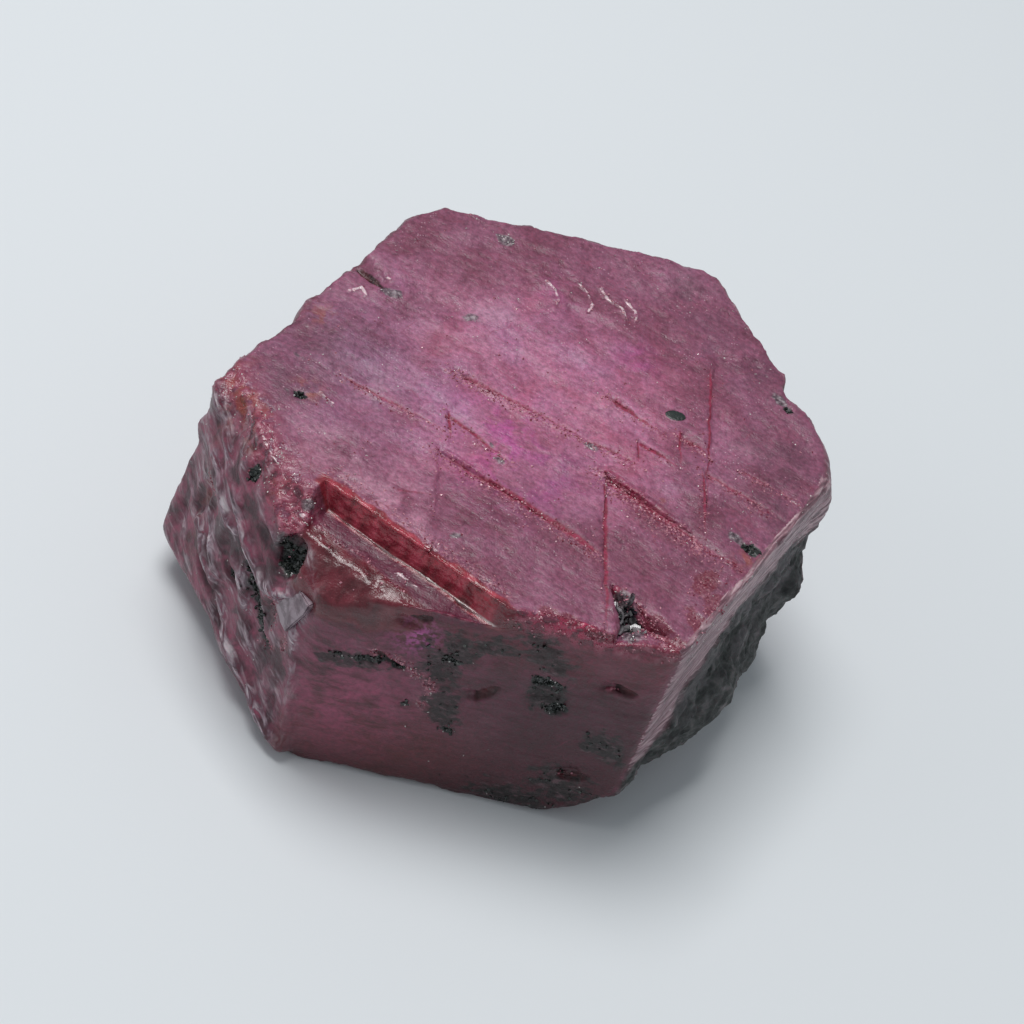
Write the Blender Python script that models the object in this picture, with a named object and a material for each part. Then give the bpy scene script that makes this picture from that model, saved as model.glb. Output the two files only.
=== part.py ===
"""A raw ruby crystal: one short six-sided corundum crystal, broken at one corner.

The flat end face of the crystal is on top and the worn base is below. Metres, +Z up.
The six prism faces are named as seen by someone standing in front of the crystal. The broken
corner is at the front left, and the dark, rock-crusted face is at the right.
"""

import math

import bmesh
import bpy
from mathutils import Matrix, Vector, noise

MM = 0.001
NAME = "ruby_crystal"

# Driving dimensions, in millimetres. Heights are measured down from the flat end face.
HEIGHT = 15.2
BLOCK = 60.0

# Prism faces: compass direction they look towards, distance from the crystal's axis at the
# top, and how far they lean outwards from there to the base.
PRISM_FACES = {
    "front": (268.0, 13.3, 0.0),
    "right": (330.0, 14.0, 0.0),
    "right_back": (29.0, 15.3, 0.3),
    "back": (89.0, 14.3, 0.5),
    "left_back": (151.0, 12.75, 1.7),
    "left": (206.0, 15.35, 0.35),
    "left_front": (217.5, 15.15, 0.1),
}
# Narrow faces that blunt the upright edges: direction, distance, lean.
BLUNT_EDGES = {
    "right_corner": (0.0, 16.65, 0.0),
    "right_back_corner": (60.0, 16.9, 0.2),
    "left_back_corner": (133.0, 14.45, 0.4),
    "left_corner": (184.0, 16.1, 0.8),
}
# Worn or broken slopes: direction, distance where they meet the depth given, that depth, and
# how steeply they fall outwards, in degrees below level (negative ones undercut the base).
SLOPES = {
    "left_rim": (208.0, 14.1, 0.0, 48.0),
    "broken_corner": (240.0, 13.9, 1.4, 41.0),
    "back_rim": (75.0, 15.2, 0.0, 20.0),
    "right_corner_rim": (2.0, 15.75, 0.0, 60.0),
    "front_right_edge": (300.0, 15.4, 0.0, 34.0),
    "base_front": (268.0, 13.05, HEIGHT, -40.0),
    "base_front_right": (308.0, 13.4, HEIGHT, -47.0),
    "base_right": (328.0, 11.9, HEIGHT, -38.0),
    "base_right_corner": (5.0, 14.8, HEIGHT, -46.0),
    "base_right_back": (32.0, 13.2, HEIGHT, -42.0),
    "base_back": (92.0, 12.2, HEIGHT, -38.0),
    "base_left_back": (150.0, 11.6, HEIGHT, -42.0),
    "base_left": (206.0, 13.2, HEIGHT, -46.0),
}

# The step of the broken corner: the wall above it follows the crystal's own growth direction.
STEP_DIRECTION = 240.0
STEP_DISTANCE = 11.6
STEP_DEPTH = 1.4
STEP_WALL_LEAN = 12.0
# Where the step ends at the left, from the middle of its wall, and how that end leans.
STEP_LEFT_END = 4.9
STEP_END_LEAN = 30.0

# Three-sided growth pits in the end face: corner x, corner y, side, depth at that corner.
# Two sides run at -90 and -30 degrees from the corner, and the floor rises to the third.
GROWTH_PITS = (
    (4.05, -3.10, 9.6, 0.32),
    (-4.60, -3.75, 9.2, 0.27),
    (9.20, -1.30, 4.2, 0.26),
    (4.10, 2.45, 3.2, 0.22),
    (7.90, 1.10, 2.4, 0.24),
    (5.60, -0.25, 2.5, 0.20),
    (-4.30, -0.95, 3.6, 0.22),
    (-4.25, 1.95, 8.6, 0.16),
    (-10.00, -0.15, 5.6, 0.14),
    (1.60, 8.80, 4.6, 0.14),
)
# Growth terraces: the end face drops by the depth along a line and rises again over the
# width on the line's right hand. Start x, start y, heading, length, width, depth.
TERRACES = (
    (9.50, 7.60, -91.0, 11.4, -5.5, 0.17),
)
# How steep the walls of the three-sided pits are, in degrees from level.
PIT_WALL_SLOPE = 64.0
# How far above the end face the shallow side of each pit and terrace runs out.
RUN_OUT = 0.03
# The deep three-sided notch at the front right corner of the end face.
NOTCH_CORNER = (4.85, -10.95)
NOTCH_SIDE = 4.6
NOTCH_DEPTH = 1.9
NOTCH_WALL_SLOPE = 84.0

# Pits: face they are in, distance along that face from its middle (mm, to the right as
# seen from outside), depth below the end face, half width, half height, depth into the face,
# turn of the long axis from upright.
SIDE_PITS = (
    ("left", -3.4, 1.4, 0.75, 0.95, 0.7, 10.0),
    ("left", 0.6, 1.3, 0.55, 0.70, 0.8, 10.0),
    ("left_front", 1.8, 2.5, 0.90, 1.45, 1.1, 8.0),
    ("left", -3.0, 6.8, 0.55, 1.60, 0.6, 25.0),
    ("left", 0.4, 6.5, 0.65, 2.10, 0.7, -15.0),
    ("left", -4.6, 10.4, 0.60, 1.30, 0.6, 20.0),
    ("left_front", 0.6, 9.4, 0.80, 1.20, 0.6, 40.0),
    ("front", -4.3, 2.6, 1.10, 0.45, 0.4, -12.0),
    ("front", -0.2, 7.0, 1.00, 0.40, 0.4, 35.0),
    ("front", 3.4, 5.5, 1.30, 1.00, 0.4, 0.0),
    ("front", -1.8, 6.0, 1.20, 1.50, 0.35, 20.0),
    ("front", 6.2, 3.9, 1.10, 0.40, 0.4, 15.0),
    ("front", 5.8, 11.2, 0.90, 0.40, 0.4, 10.0),
    ("back", -4.5, 4.5, 1.30, 0.80, 0.6, 20.0),
    ("back", 3.0, 8.0, 0.90, 1.60, 0.7, -25.0),
    ("left_back", 1.5, 5.0, 0.70, 1.50, 0.6, 15.0),
    ("left_back", -3.8, 9.0, 1.20, 0.70, 0.6, -10.0),
    ("right_back", 2.6, 6.5, 0.80, 1.40, 0.6, 30.0),
    ("right_back", -3.4, 9.5, 1.10, 0.80, 0.6, 0.0),
)
# Pits in the worn base: x, y, half length, half width, depth, turn of the long axis.
BASE_PITS = (
    (-6.5, 6.0, 1.9, 1.1, 0.7, 20.0),
    (5.4, 7.2, 1.2, 0.9, 0.5, -30.0),
    (8.6, -3.4, 1.6, 0.8, 0.6, 70.0),
    (-3.2, -8.0, 1.5, 1.0, 0.6, -10.0),
)

# Mesh size on the end face, on the sides and on the flat of the base.
FACE_SPACING = 1.3
SIDE_SPACING = 1.0
BASE_SPACING = 4.0
# Triangles smaller than this, in square metres, count as flat whatever way they face.
SLIVER_AREA = 5e-10


def outward(direction, elevation=0.0):
    """Unit vector towards a compass direction, raised by some degrees above level."""
    turn = math.radians(direction)
    rise = math.radians(elevation)
    level = math.cos(rise)
    return Vector((math.cos(turn) * level, math.sin(turn) * level, math.sin(rise)))


def keep_inside(bm, point, normal):
    """Cuts the solid with a plane, drops what lies outside it and closes the cut."""
    geometry = bm.verts[:] + bm.edges[:] + bm.faces[:]
    cut = bmesh.ops.bisect_plane(
        bm, geom=geometry, dist=1e-7, plane_co=point, plane_no=normal, clear_outer=True
    )
    rim = [item for item in cut["geom_cut"] if isinstance(item, bmesh.types.BMEdge)]
    if rim:
        bmesh.ops.holes_fill(bm, edges=rim, sides=0)


def big_block(bm):
    bmesh.ops.create_cube(bm, size=BLOCK * MM)


def cut_prism_faces(bm):
    """The upright faces, each leaning outwards a little from top to base."""
    for direction, distance, lean in list(PRISM_FACES.values()) + list(BLUNT_EDGES.values()):
        tilt = math.degrees(math.atan2(lean, HEIGHT))
        keep_inside(bm, outward(direction) * distance * MM, outward(direction, tilt))


def cut_ends(bm):
    """The flat end face at height 0 and the flat of the base below it."""
    keep_inside(bm, Vector((0, 0, 0)), Vector((0, 0, 1)))
    keep_inside(bm, Vector((0, 0, -HEIGHT * MM)), Vector((0, 0, -1)))


def cut_slopes(bm):
    """Worn rims, the broken corner's lower slope and the undercut round the base."""
    for direction, distance, depth, fall in SLOPES.values():
        point = outward(direction) * distance * MM
        point.z = -depth * MM
        if fall > 0:
            normal = outward(direction, 90.0 - fall)
        else:
            normal = outward(direction, fall)
        keep_inside(bm, point, normal)


def new_object(name, bm, collection):
    mesh = bpy.data.meshes.new(name)
    bmesh.ops.recalc_face_normals(bm, faces=bm.faces)
    bm.to_mesh(mesh)
    bm.free()
    made = bpy.data.objects.new(name, mesh)
    collection.objects.link(made)
    return made


def crystal_block(collection):
    bm = bmesh.new()
    big_block(bm)
    cut_prism_faces(bm)
    cut_ends(bm)
    cut_slopes(bm)
    return new_object(NAME, bm, collection)


def step_cutter(collection):
    """What broke off above the ledge: everything outside the red wall and above the ledge."""
    bm = bmesh.new()
    big_block(bm)
    wall = outward(STEP_DIRECTION) * STEP_DISTANCE * MM
    keep_inside(bm, wall, -outward(STEP_DIRECTION, STEP_WALL_LEAN))
    keep_inside(bm, Vector((0, 0, -STEP_DEPTH * MM)), Vector((0, 0, -1)))
    keep_inside(bm, Vector((0, 0, 4 * MM)), Vector((0, 0, 1)))
    leftwards = STEP_DIRECTION - 90.0
    keep_inside(bm, outward(leftwards) * STEP_LEFT_END * MM, outward(leftwards, -STEP_END_LEAN))
    return new_object("corner_step", bm, collection)


def three_sided_pit(name, corner, side, depth, wall_slope, collection):
    """A three-sided prism with one upright edge at the pit's corner, tipped about its far side."""
    tall = 3.0
    bm = bmesh.new()
    radius = side / math.sqrt(3)
    flare = 2.0 * tall / math.tan(math.radians(wall_slope))
    bmesh.ops.create_cone(
        bm, cap_ends=True, segments=3, radius1=radius * MM, radius2=(radius + flare) * MM,
        depth=tall * MM,
    )
    first = max(bm.verts, key=lambda v: (round(v.co.z, 6), v.co.x + 1e-3 * v.co.y)).co
    start = math.atan2(first.y, first.x)
    upright = Matrix.Rotation(math.radians(120.0) - start, 4, "Z")
    lift = Matrix.Translation(Vector((0, 0, tall / 2 + RUN_OUT)) * MM)
    bmesh.ops.transform(bm, matrix=lift @ upright, verts=bm.verts)
    # The far side is opposite the corner, in the direction of -60 degrees.
    far = outward(-60.0) * (radius / 2) * MM
    far.z = RUN_OUT * MM
    hinge = outward(30.0)
    tip = math.atan2(depth + RUN_OUT, side * math.sqrt(3) / 2)
    turn = Matrix.Rotation(-tip, 4, hinge)
    about = Matrix.Translation(far) @ turn @ Matrix.Translation(-far)
    bmesh.ops.transform(bm, matrix=about, verts=bm.verts)
    place = Vector((corner[0], corner[1], 0)) * MM - outward(120.0) * radius * MM
    bmesh.ops.translate(bm, vec=place, verts=bm.verts)
    return new_object(name, bm, collection)


def terrace_cutter(name, terrace, collection):
    """A long flat box, deepest along one side and tipped up to the surface at the other."""
    x, y, heading, length, width, depth = terrace
    tall = 3.0
    bm = bmesh.new()
    bmesh.ops.create_cube(bm, size=1.0)
    size = Matrix.Diagonal(Vector((length, abs(width), tall, 1.0)))
    side = math.copysign(1.0, width)
    lift = Matrix.Translation(Vector((length / 2, -width / 2, tall / 2 + RUN_OUT)))
    far = Vector((0, -width, RUN_OUT))
    tip = Matrix.Rotation(-side * math.atan2(depth + RUN_OUT, abs(width)), 4, "X")
    about = Matrix.Translation(far) @ tip @ Matrix.Translation(-far)
    spin = Matrix.Rotation(math.radians(heading), 4, "Z")
    place = Matrix.Translation(Vector((x, y, 0)))
    to_metres = Matrix.Scale(MM, 4)
    bmesh.ops.transform(bm, matrix=to_metres @ place @ spin @ about @ lift @ size, verts=bm.verts)
    return new_object(name, bm, collection)


def growth_pit_cutters(collection):
    made = []
    for number, (x, y, side, depth) in enumerate(GROWTH_PITS):
        made.append(
            three_sided_pit(
                f"growth_pit_{number}", (x, y), side, depth, PIT_WALL_SLOPE, collection
            )
        )
    for number, terrace in enumerate(TERRACES):
        made.append(terrace_cutter(f"terrace_{number}", terrace, collection))
    made.append(
        three_sided_pit(
            "corner_notch", NOTCH_CORNER, NOTCH_SIDE, NOTCH_DEPTH, NOTCH_WALL_SLOPE, collection
        )
    )
    return made


def scooped_pit(name, centre, direction, size, turn, collection):
    """A squashed faceted ball, half sunk in a side face."""
    bm = bmesh.new()
    bmesh.ops.create_icosphere(bm, subdivisions=1, radius=1.0)
    scale = Matrix.Diagonal(Vector((size[2], size[0], size[1], 1.0 / MM))) * MM
    spin = Matrix.Rotation(math.radians(turn), 4, "X")
    face = Matrix.Rotation(math.radians(direction), 4, "Z")
    place = Matrix.Translation(centre)
    bmesh.ops.transform(bm, matrix=place @ face @ spin @ scale, verts=bm.verts)
    return new_object(name, bm, collection)


def side_pit_cutters(collection):
    made = []
    for number, pit in enumerate(SIDE_PITS):
        face, along, depth, half_width, half_height, sink, turn = pit
        direction, distance, lean = PRISM_FACES[face]
        reach = distance + lean * depth / HEIGHT + sink * 0.25
        centre = outward(direction) * reach + outward(direction + 90.0) * along
        centre.z = -depth
        size = (half_width, half_height, sink * 1.25)
        made.append(
            scooped_pit(f"pit_{face}_{number}", centre * MM, direction, size, turn, collection)
        )
    return made


def base_pit_cutters(collection):
    made = []
    for number, (x, y, half_length, half_width, sink, turn) in enumerate(BASE_PITS):
        bm = bmesh.new()
        bmesh.ops.create_icosphere(bm, subdivisions=1, radius=1.0)
        size = Matrix.Diagonal(Vector((half_length, half_width, sink * 1.25, 1.0)))
        spin = Matrix.Rotation(math.radians(turn), 4, "Z")
        place = Matrix.Translation(Vector((x, y, -HEIGHT - sink * 0.25)))
        bmesh.ops.transform(bm, matrix=Matrix.Scale(MM, 4) @ place @ spin @ size, verts=bm.verts)
        made.append(new_object(f"base_pit_{number}", bm, collection))
    return made


def rim_chip_cutters(collection):
    """The trough at the left of the back rim and the nick in the right rim."""
    trough = scooped_pit(
        "rim_trough", Vector((-9.6, 7.7, 0.35)) * MM, 142.0, (0.95, 0.95, 2.6), 20.0, collection
    )
    nick = scooped_pit(
        "rim_nick", Vector((14.7, 6.2, 0.0)) * MM, 25.0, (1.6, 2.6, 1.35), 0.0, collection
    )
    return [trough, nick]


def cut_with(target, cutters):
    """Takes every cutter out of the crystal with exact Booleans."""
    for cutter in cutters:
        cutter.hide_render = True
        cutter.display_type = "WIRE"
        boolean = target.modifiers.new(cutter.name, "BOOLEAN")
        boolean.operation = "DIFFERENCE"
        boolean.solver = "EXACT"
        boolean.object = cutter
    graph = bpy.context.evaluated_depsgraph_get()
    whole = bpy.data.meshes.new_from_object(target.evaluated_get(graph))
    target.modifiers.clear()
    target.data = whole


def spacing_of(edge):
    """Longest edge wanted here, in metres."""
    ups = [face.normal.z for face in edge.link_faces]
    if min(ups) < -0.99:
        return BASE_SPACING * MM
    if min(ups) > 0.95:
        return FACE_SPACING * MM
    return SIDE_SPACING * MM


def opposite_angle(face, edge):
    """Angle of a triangle at the corner across from one of its edges, and that corner."""
    corner = next(loop for loop in face.loops if loop.vert not in edge.verts)
    return corner.calc_angle(), corner.vert


def even_out(bm):
    """Turns the edges inside flat areas until the triangles there are as even as they can be."""
    for _ in range(4):
        turned = 0
        for edge in bm.edges[:]:
            if not edge.is_manifold:
                continue
            smallest = min(face.calc_area() for face in edge.link_faces)
            if smallest > SLIVER_AREA and edge.calc_face_angle(9.0) > 0.01:
                continue
            angle_a, vert_a = opposite_angle(edge.link_faces[0], edge)
            angle_b, vert_b = opposite_angle(edge.link_faces[1], edge)
            if angle_a + angle_b < math.pi + 0.01:
                continue
            if bm.edges.get((vert_a, vert_b)) is None:
                turned += bmesh.utils.edge_rotate(edge, True) is not None
        bm.normal_update()
        if not turned:
            break


def refine(bm):
    """Splits long edges again and again, so that every face is made of even triangles."""
    bmesh.ops.triangulate(bm, faces=bm.faces, quad_method="BEAUTY", ngon_method="BEAUTY")
    factor = 12.0
    while factor > 0.99:
        bm.normal_update()
        even_out(bm)
        long_edges = [e for e in bm.edges if e.calc_length() > spacing_of(e) * factor]
        if long_edges:
            bmesh.ops.subdivide_edges(bm, edges=long_edges, cuts=1, use_grid_fill=False)
            bmesh.ops.triangulate(
                bm, faces=bm.faces, quad_method="BEAUTY", ngon_method="BEAUTY"
            )
        factor /= 1.32
    bm.normal_update()
    even_out(bm)


def grain(point, size, seed):
    """Smooth random value between about -1 and 1, with lumps of the given size in mm."""
    shift = Vector((seed * 7.3, seed * 3.1, seed * 5.7))
    return noise.noise(point / (size * MM) + shift)


def ridges(point, size, seed):
    """Sharp-crested random ridges, 0 in the hollows and 1 on the crests."""
    return 1.0 - 2.0 * abs(grain(point, size, seed))


def roughness(normal, point):
    """How far the surface stands out here, in mm, from the character of the face it is on."""
    depth = -point.z / MM
    if normal.z > 0.9:
        return 0.07 * grain(point, 3.5, 1) + 0.04 * grain(point, 1.2, 2)
    if normal.z < -0.99:
        return 0.0
    heading = math.degrees(math.atan2(normal.y, normal.x)) % 360.0
    worn = 0.32 * grain(point, 4.5, 3) + 0.14 * grain(point, 2.2, 4)
    if 190.0 < heading < 232.0:
        stretched = Vector((point.x, point.y, point.z * 0.35 + point.y * 0.25))
        return 0.55 * ridges(stretched, 3.0, 5) + 0.6 * worn - 0.25
    if 232.0 <= heading < 285.0:
        return 0.3 * worn
    if 285.0 <= heading < 350.0:
        return 0.2 * worn + crusted_swell(point, depth)
    return worn + 0.22 * ridges(point, 3.4, 8)


def crusted_swell(point, depth):
    """The dark crust that bulges out of the lower half of the right face."""
    along = (point.x * 0.5 + point.y * 0.866) / MM
    below = smooth_step(6.2, 9.4, depth) * (1.0 - 0.8 * smooth_step(10.5, 13.5, depth))
    reach = 0.05 + 1.25 * smooth_step(-7.0, -1.5, along) - 1.0 * smooth_step(2.0, 7.0, along)
    knob = 1.0 * math.exp(-((along - 8.6) ** 2 + (depth - 8.0) ** 2) / 2.6)
    lumps = 1.0 + 0.55 * grain(point, 3.2, 6) + 0.25 * grain(point, 1.6, 7)
    shoulder = 0.6 * math.exp(-((along - 9.2) ** 2 + (depth - 2.6) ** 2) / 3.0)
    return below * reach * lumps + knob + shoulder


def smooth_step(low, high, value):
    part = min(max((value - low) / (high - low), 0.0), 1.0)
    return part * part * (3.0 - 2.0 * part)


def roughen(bm):
    """Moves every point by the roughness of the faces round it. The base stays flat."""
    bm.normal_update()
    moves = []
    for vert in bm.verts:
        move = Vector((0, 0, 0))
        for face in vert.link_faces:
            move += face.normal * roughness(face.normal, vert.co)
        moves.append(move / len(vert.link_faces))
    floor = -HEIGHT * MM
    for vert, move in zip(bm.verts[:], moves):
        on_base = vert.co.z < floor + 1e-6
        vert.co += move * MM
        if on_base:
            vert.co.z = floor
        else:
            vert.co.z = max(vert.co.z, floor + 0.05 * MM)


def settle_at_origin(bm):
    """Puts the middle of the outline over the origin and the base on the ground."""
    lows = [min(v.co[axis] for v in bm.verts) for axis in range(3)]
    highs = [max(v.co[axis] for v in bm.verts) for axis in range(3)]
    middle = Vector(((lows[0] + highs[0]) / 2, (lows[1] + highs[1]) / 2, lows[2]))
    bmesh.ops.translate(bm, vec=-middle, verts=bm.verts)


def natural_surface(crystal):
    bm = bmesh.new()
    bm.from_mesh(crystal.data)
    bmesh.ops.remove_doubles(bm, verts=bm.verts, dist=0.004 * MM)
    bmesh.ops.dissolve_degenerate(bm, dist=0.004 * MM, edges=bm.edges)
    refine(bm)
    roughen(bm)
    settle_at_origin(bm)
    bmesh.ops.recalc_face_normals(bm, faces=bm.faces)
    bm.to_mesh(crystal.data)
    bm.free()


def ruby_material():
    material = bpy.data.materials.new("ruby")
    material.use_nodes = True
    shader = material.node_tree.nodes["Principled BSDF"]
    shader.inputs["Base Color"].default_value = (0.27, 0.07, 0.14, 1.0)
    shader.inputs["Roughness"].default_value = 0.45
    return material


def clear_scene():
    for item in list(bpy.data.objects):
        bpy.data.objects.remove(item, do_unlink=True)


def build():
    clear_scene()
    parts = bpy.data.collections.new("raw_ruby_crystal")
    cutters = bpy.data.collections.new("cutters")
    bpy.context.scene.collection.children.link(parts)
    bpy.context.scene.collection.children.link(cutters)
    cutters.hide_render = True
    crystal = crystal_block(parts)
    tools = [step_cutter(cutters)]
    tools += growth_pit_cutters(cutters)
    tools += side_pit_cutters(cutters)
    tools += base_pit_cutters(cutters)
    tools += rim_chip_cutters(cutters)
    cut_with(crystal, tools)
    natural_surface(crystal)
    crystal.data.materials.clear()
    crystal.data.materials.append(ruby_material())


build()
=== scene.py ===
"""The looks of a raw ruby crystal: its fine relief, its minerals and its finish, on a pale ground."""

import math

import bmesh
import bpy
import numpy as np
from mathutils import Matrix, Vector, noise


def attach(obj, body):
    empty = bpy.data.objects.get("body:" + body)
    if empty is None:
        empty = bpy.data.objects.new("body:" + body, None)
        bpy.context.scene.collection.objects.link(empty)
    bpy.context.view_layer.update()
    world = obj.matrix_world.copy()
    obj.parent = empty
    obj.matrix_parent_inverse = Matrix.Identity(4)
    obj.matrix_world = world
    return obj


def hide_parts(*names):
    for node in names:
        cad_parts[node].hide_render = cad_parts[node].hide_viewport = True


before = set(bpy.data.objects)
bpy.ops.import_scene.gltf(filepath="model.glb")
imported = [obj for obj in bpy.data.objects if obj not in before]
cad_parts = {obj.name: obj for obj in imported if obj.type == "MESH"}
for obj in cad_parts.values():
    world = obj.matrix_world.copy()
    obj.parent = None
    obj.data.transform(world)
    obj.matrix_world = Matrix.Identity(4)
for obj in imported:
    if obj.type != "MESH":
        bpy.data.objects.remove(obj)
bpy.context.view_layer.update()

# --------------------
# The crystal's body: one short six-sided corundum crystal, grown as a single piece. The solid
# gives its faces, steps and pits, and here it gets a skin fine enough for grain and hairlines.
# Places are in millimetres from the crystal's own axis, and heights down from its end face.

MM = 0.001
HEIGHT = 15.2
AXIS = np.array((0.2622, 0.6466, -HEIGHT))

END_FACE_SPACING = 0.26
SEEN_SIDE_SPACING = 0.27
FAR_SIDE_SPACING = 0.48
BASE_SPACING = 1.2
FINE_SPACING = 0.105
FINE_REACH = 0.2
CREASE_SPACING = 0.055
CREASE_REACH = 0.16
SPLIT_ROUNDS = 7
MERGED_WITHIN = 0.0005
# Compass directions, in degrees, between which a side is seen from the front.
SEEN_FROM = 188.0
SEEN_TO = 350.0
# Thin curved ridges of the end face and of the break that catch the light; the finish also paints pale
# highlights along them.
CURVED_GLINTS = (
    ((0.2, 9.9, 0.0), (0.7, 9.4, 0.0), (0.9, 8.7, 0.0), (0.7, 8.1, 0.0)),
    ((1.9, 10.4, 0.0), (2.5, 9.8, 0.0), (2.8, 9.0, 0.0), (2.6, 8.4, 0.0)),
    ((3.2, 10.4, 0.0), (3.6, 9.6, 0.0), (4.4, 9.2, 0.0), (4.7, 8.4, 0.0)),
    ((4.6, 9.9, 0.0), (5.2, 9.2, 0.0), (5.2, 8.5, 0.0)),
    ((-10.2, 5.9, 0.0), (-9.6, 6.3, 0.0), (-9.3, 5.8, 0.0)),
    ((-10.9, -1.9, 0.0), (-10.2, -2.4, 0.0)),
    ((-10.8, -9.3, -1.0), (-10.3, -9.4, -1.2), (-9.9, -9.8, -1.3), (-9.7, -10.2, -1.4)),
    ((-5.7, -11.3, -1.4), (-4.7, -11.9, -1.4)),
    ((-13.3, -5.6, -0.1), (-12.6, -6.7, -0.2), (-12.0, -7.3, -0.4)),
    ((10.9, -2.4, 0.0), (10.9, -2.8, 0.0)),
    ((-8.7, 7.7, 0.0), (-8.2, 7.4, 0.0)),
)
# A glossy bead of black hornblende on the end face, small enough to need the finest skin.
BEAD_MIDDLE = (7.55, 2.08)
BEAD_REACH = 0.6
# Lens-shaped pits of clear red glass in the front side.
LENS_PITS = (
    ((-4.4, -13.2, -2.3), 0.36, 2.4, (1.0, 0.0, 0.3)),
    ((0.1, -13.2, -6.5), 0.38, 2.4, (0.55, 0.0, 0.83)),
    ((6.4, -13.5, -3.9), 0.3, 2.6, (1.0, 0.0, -0.1)),
    ((5.9, -13.5, -11.5), 0.32, 2.6, (1.0, 0.0, 0.2)),
    ((-5.1, -13.2, -5.7), 0.22, 4.5, (1.0, 0.0, -0.6)),
)
PIT_SPACING = 0.14
PIT_REACH = 1.0

# Hairlines on the end face, where growth layers meet: from, to, half width, depth, redness,
# crumbliness of its border on the right hand, or on the left where it is negative.
GROWTH_LINES = (
    ((4.01, -3.3), (4.39, -13.4), 0.11, 0.06, 1.0, 0.15),
    ((4.05, -3.06), (9.04, -6.2), 0.24, 0.07, 0.9, 1.0),
    ((9.04, -6.2), (10.92, -7.27), 0.14, 0.06, 0.4, 0.8),
    ((3.9, -8.45), (-4.57, -3.9), 0.18, 0.08, 1.0, -0.6),
    ((9.53, 6.34), (9.34, -3.8), 0.09, 0.03, 0.85, 0.1),
    ((9.1, -1.4), (9.3, -5.6), 0.1, 0.03, 0.8, 0.3),
    ((7.85, 1.2), (7.88, -1.3), 0.1, 0.03, 0.85, 0.2),
    ((-4.28, -1.0), (-4.13, -2.86), 0.1, 0.03, 0.9, 0.35),
    ((4.14, 2.4), (6.72, 0.78), 0.12, 0.05, 0.95, 0.55),
    ((5.61, -0.27), (7.72, -1.49), 0.1, 0.05, 0.9, 0.25),
    ((5.61, -0.27), (5.64, -1.7), 0.09, 0.03, 0.8, 0.2),
    ((8.01, 0.82), (9.37, -0.07), 0.14, 0.08, 0.7, 0.8),
    ((-9.84, -0.29), (-4.31, -2.57), 0.09, 0.06, 0.65, 0.55),
    ((-4.23, 1.84), (3.13, -1.02), 0.14, 0.04, 0.6, 0.8),
    ((3.13, -1.02), (5.39, -1.83), 0.12, 0.05, 0.6, 0.7),
    ((-4.26, -1.21), (-0.98, -3.72), 0.13, 0.05, 0.85, 0.5),
    ((9.22, -1.33), (12.7, -3.04), 0.12, 0.05, 0.6, 0.6),
    ((-4.7, -4.1), (-4.6, -8.6), 0.08, 0.0, 0.3, 0.05),
    ((-6.6, -7.2), (-4.6, -7.0), 0.1, 0.02, 0.55, 0.1),
    ((5.9, -11.25), (8.04, -13.5), 0.28, 0.16, 0.55, 0.6),
    ((11.28, -0.73), (14.33, -2.01), 0.08, 0.02, 0.45, 0.6),
)
# The broken corner at the front left: a wall, a ledge and a slope, all facing this direction.
BREAK_DIRECTION = 240.0
BREAK_CREASE = 11.9
BREAK_LEDGE_EDGE = 13.9
BREAK_LEFT_END = -4.9
BREAK_RIGHT_END = 6.0
LEDGE_DEPTH = 1.4
# The open pit at the front right corner.
NOTCH_MIDDLE = (5.3, -12.0)


def rise(low, high, value):
    """0 up to the low value and 1 from the high one."""
    part = np.clip((value - low) / (high - low), 0.0, 1.0)
    return part * part * (3.0 - 2.0 * part)


def bell(distance, width):
    """1 where there is no distance, fading out to nothing beyond the width."""
    return np.exp(-((distance / width) ** 2))


def compass(runs):
    """Direction of each run seen from above, in degrees."""
    return np.degrees(np.arctan2(runs[:, 1], runs[:, 0])) % 360.0


def along_line(points, start, end):
    """Distance from a line on the end face, share of its length, and distance to its left."""
    start = np.array(start)
    run = np.array(end) - start
    length = np.hypot(*run)
    rest = points[:, :2] - start
    share = np.clip(rest @ run / length**2, 0.0, 1.0)
    off = rest - share[:, None] * run
    left = (run[0] * rest[:, 1] - run[1] * rest[:, 0]) / length
    return np.hypot(off[:, 0], off[:, 1]), share, left


def from_path(points, path):
    """Distance of every point from a path of straight runs."""
    near = np.full(len(points), 99.0)
    for start, end in zip(path, path[1:]):
        start = np.array(start)
        run = np.array(end) - start
        share = np.clip((points - start) @ run / (run @ run), 0.0, 1.0)
        near = np.minimum(near, np.linalg.norm(points - start - share[:, None] * run, axis=1))
    return near


def nearest_line(points):
    near = np.full(len(points), 99.0)
    for start, end, *_ in GROWTH_LINES:
        near = np.minimum(near, along_line(points, start, end)[0])
    for path in CURVED_GLINTS:
        near = np.minimum(near, from_path(points, path))
    return near


def reach_towards(points, turn):
    return points[:, 0] * math.cos(turn) + points[:, 1] * math.sin(turn)


def from_break(points):
    """Distance out towards the broken corner, and distance along its wall from the middle."""
    turn = math.radians(BREAK_DIRECTION)
    along = -points[:, 0] * math.sin(turn) + points[:, 1] * math.cos(turn)
    return reach_towards(points, turn), along


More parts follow.
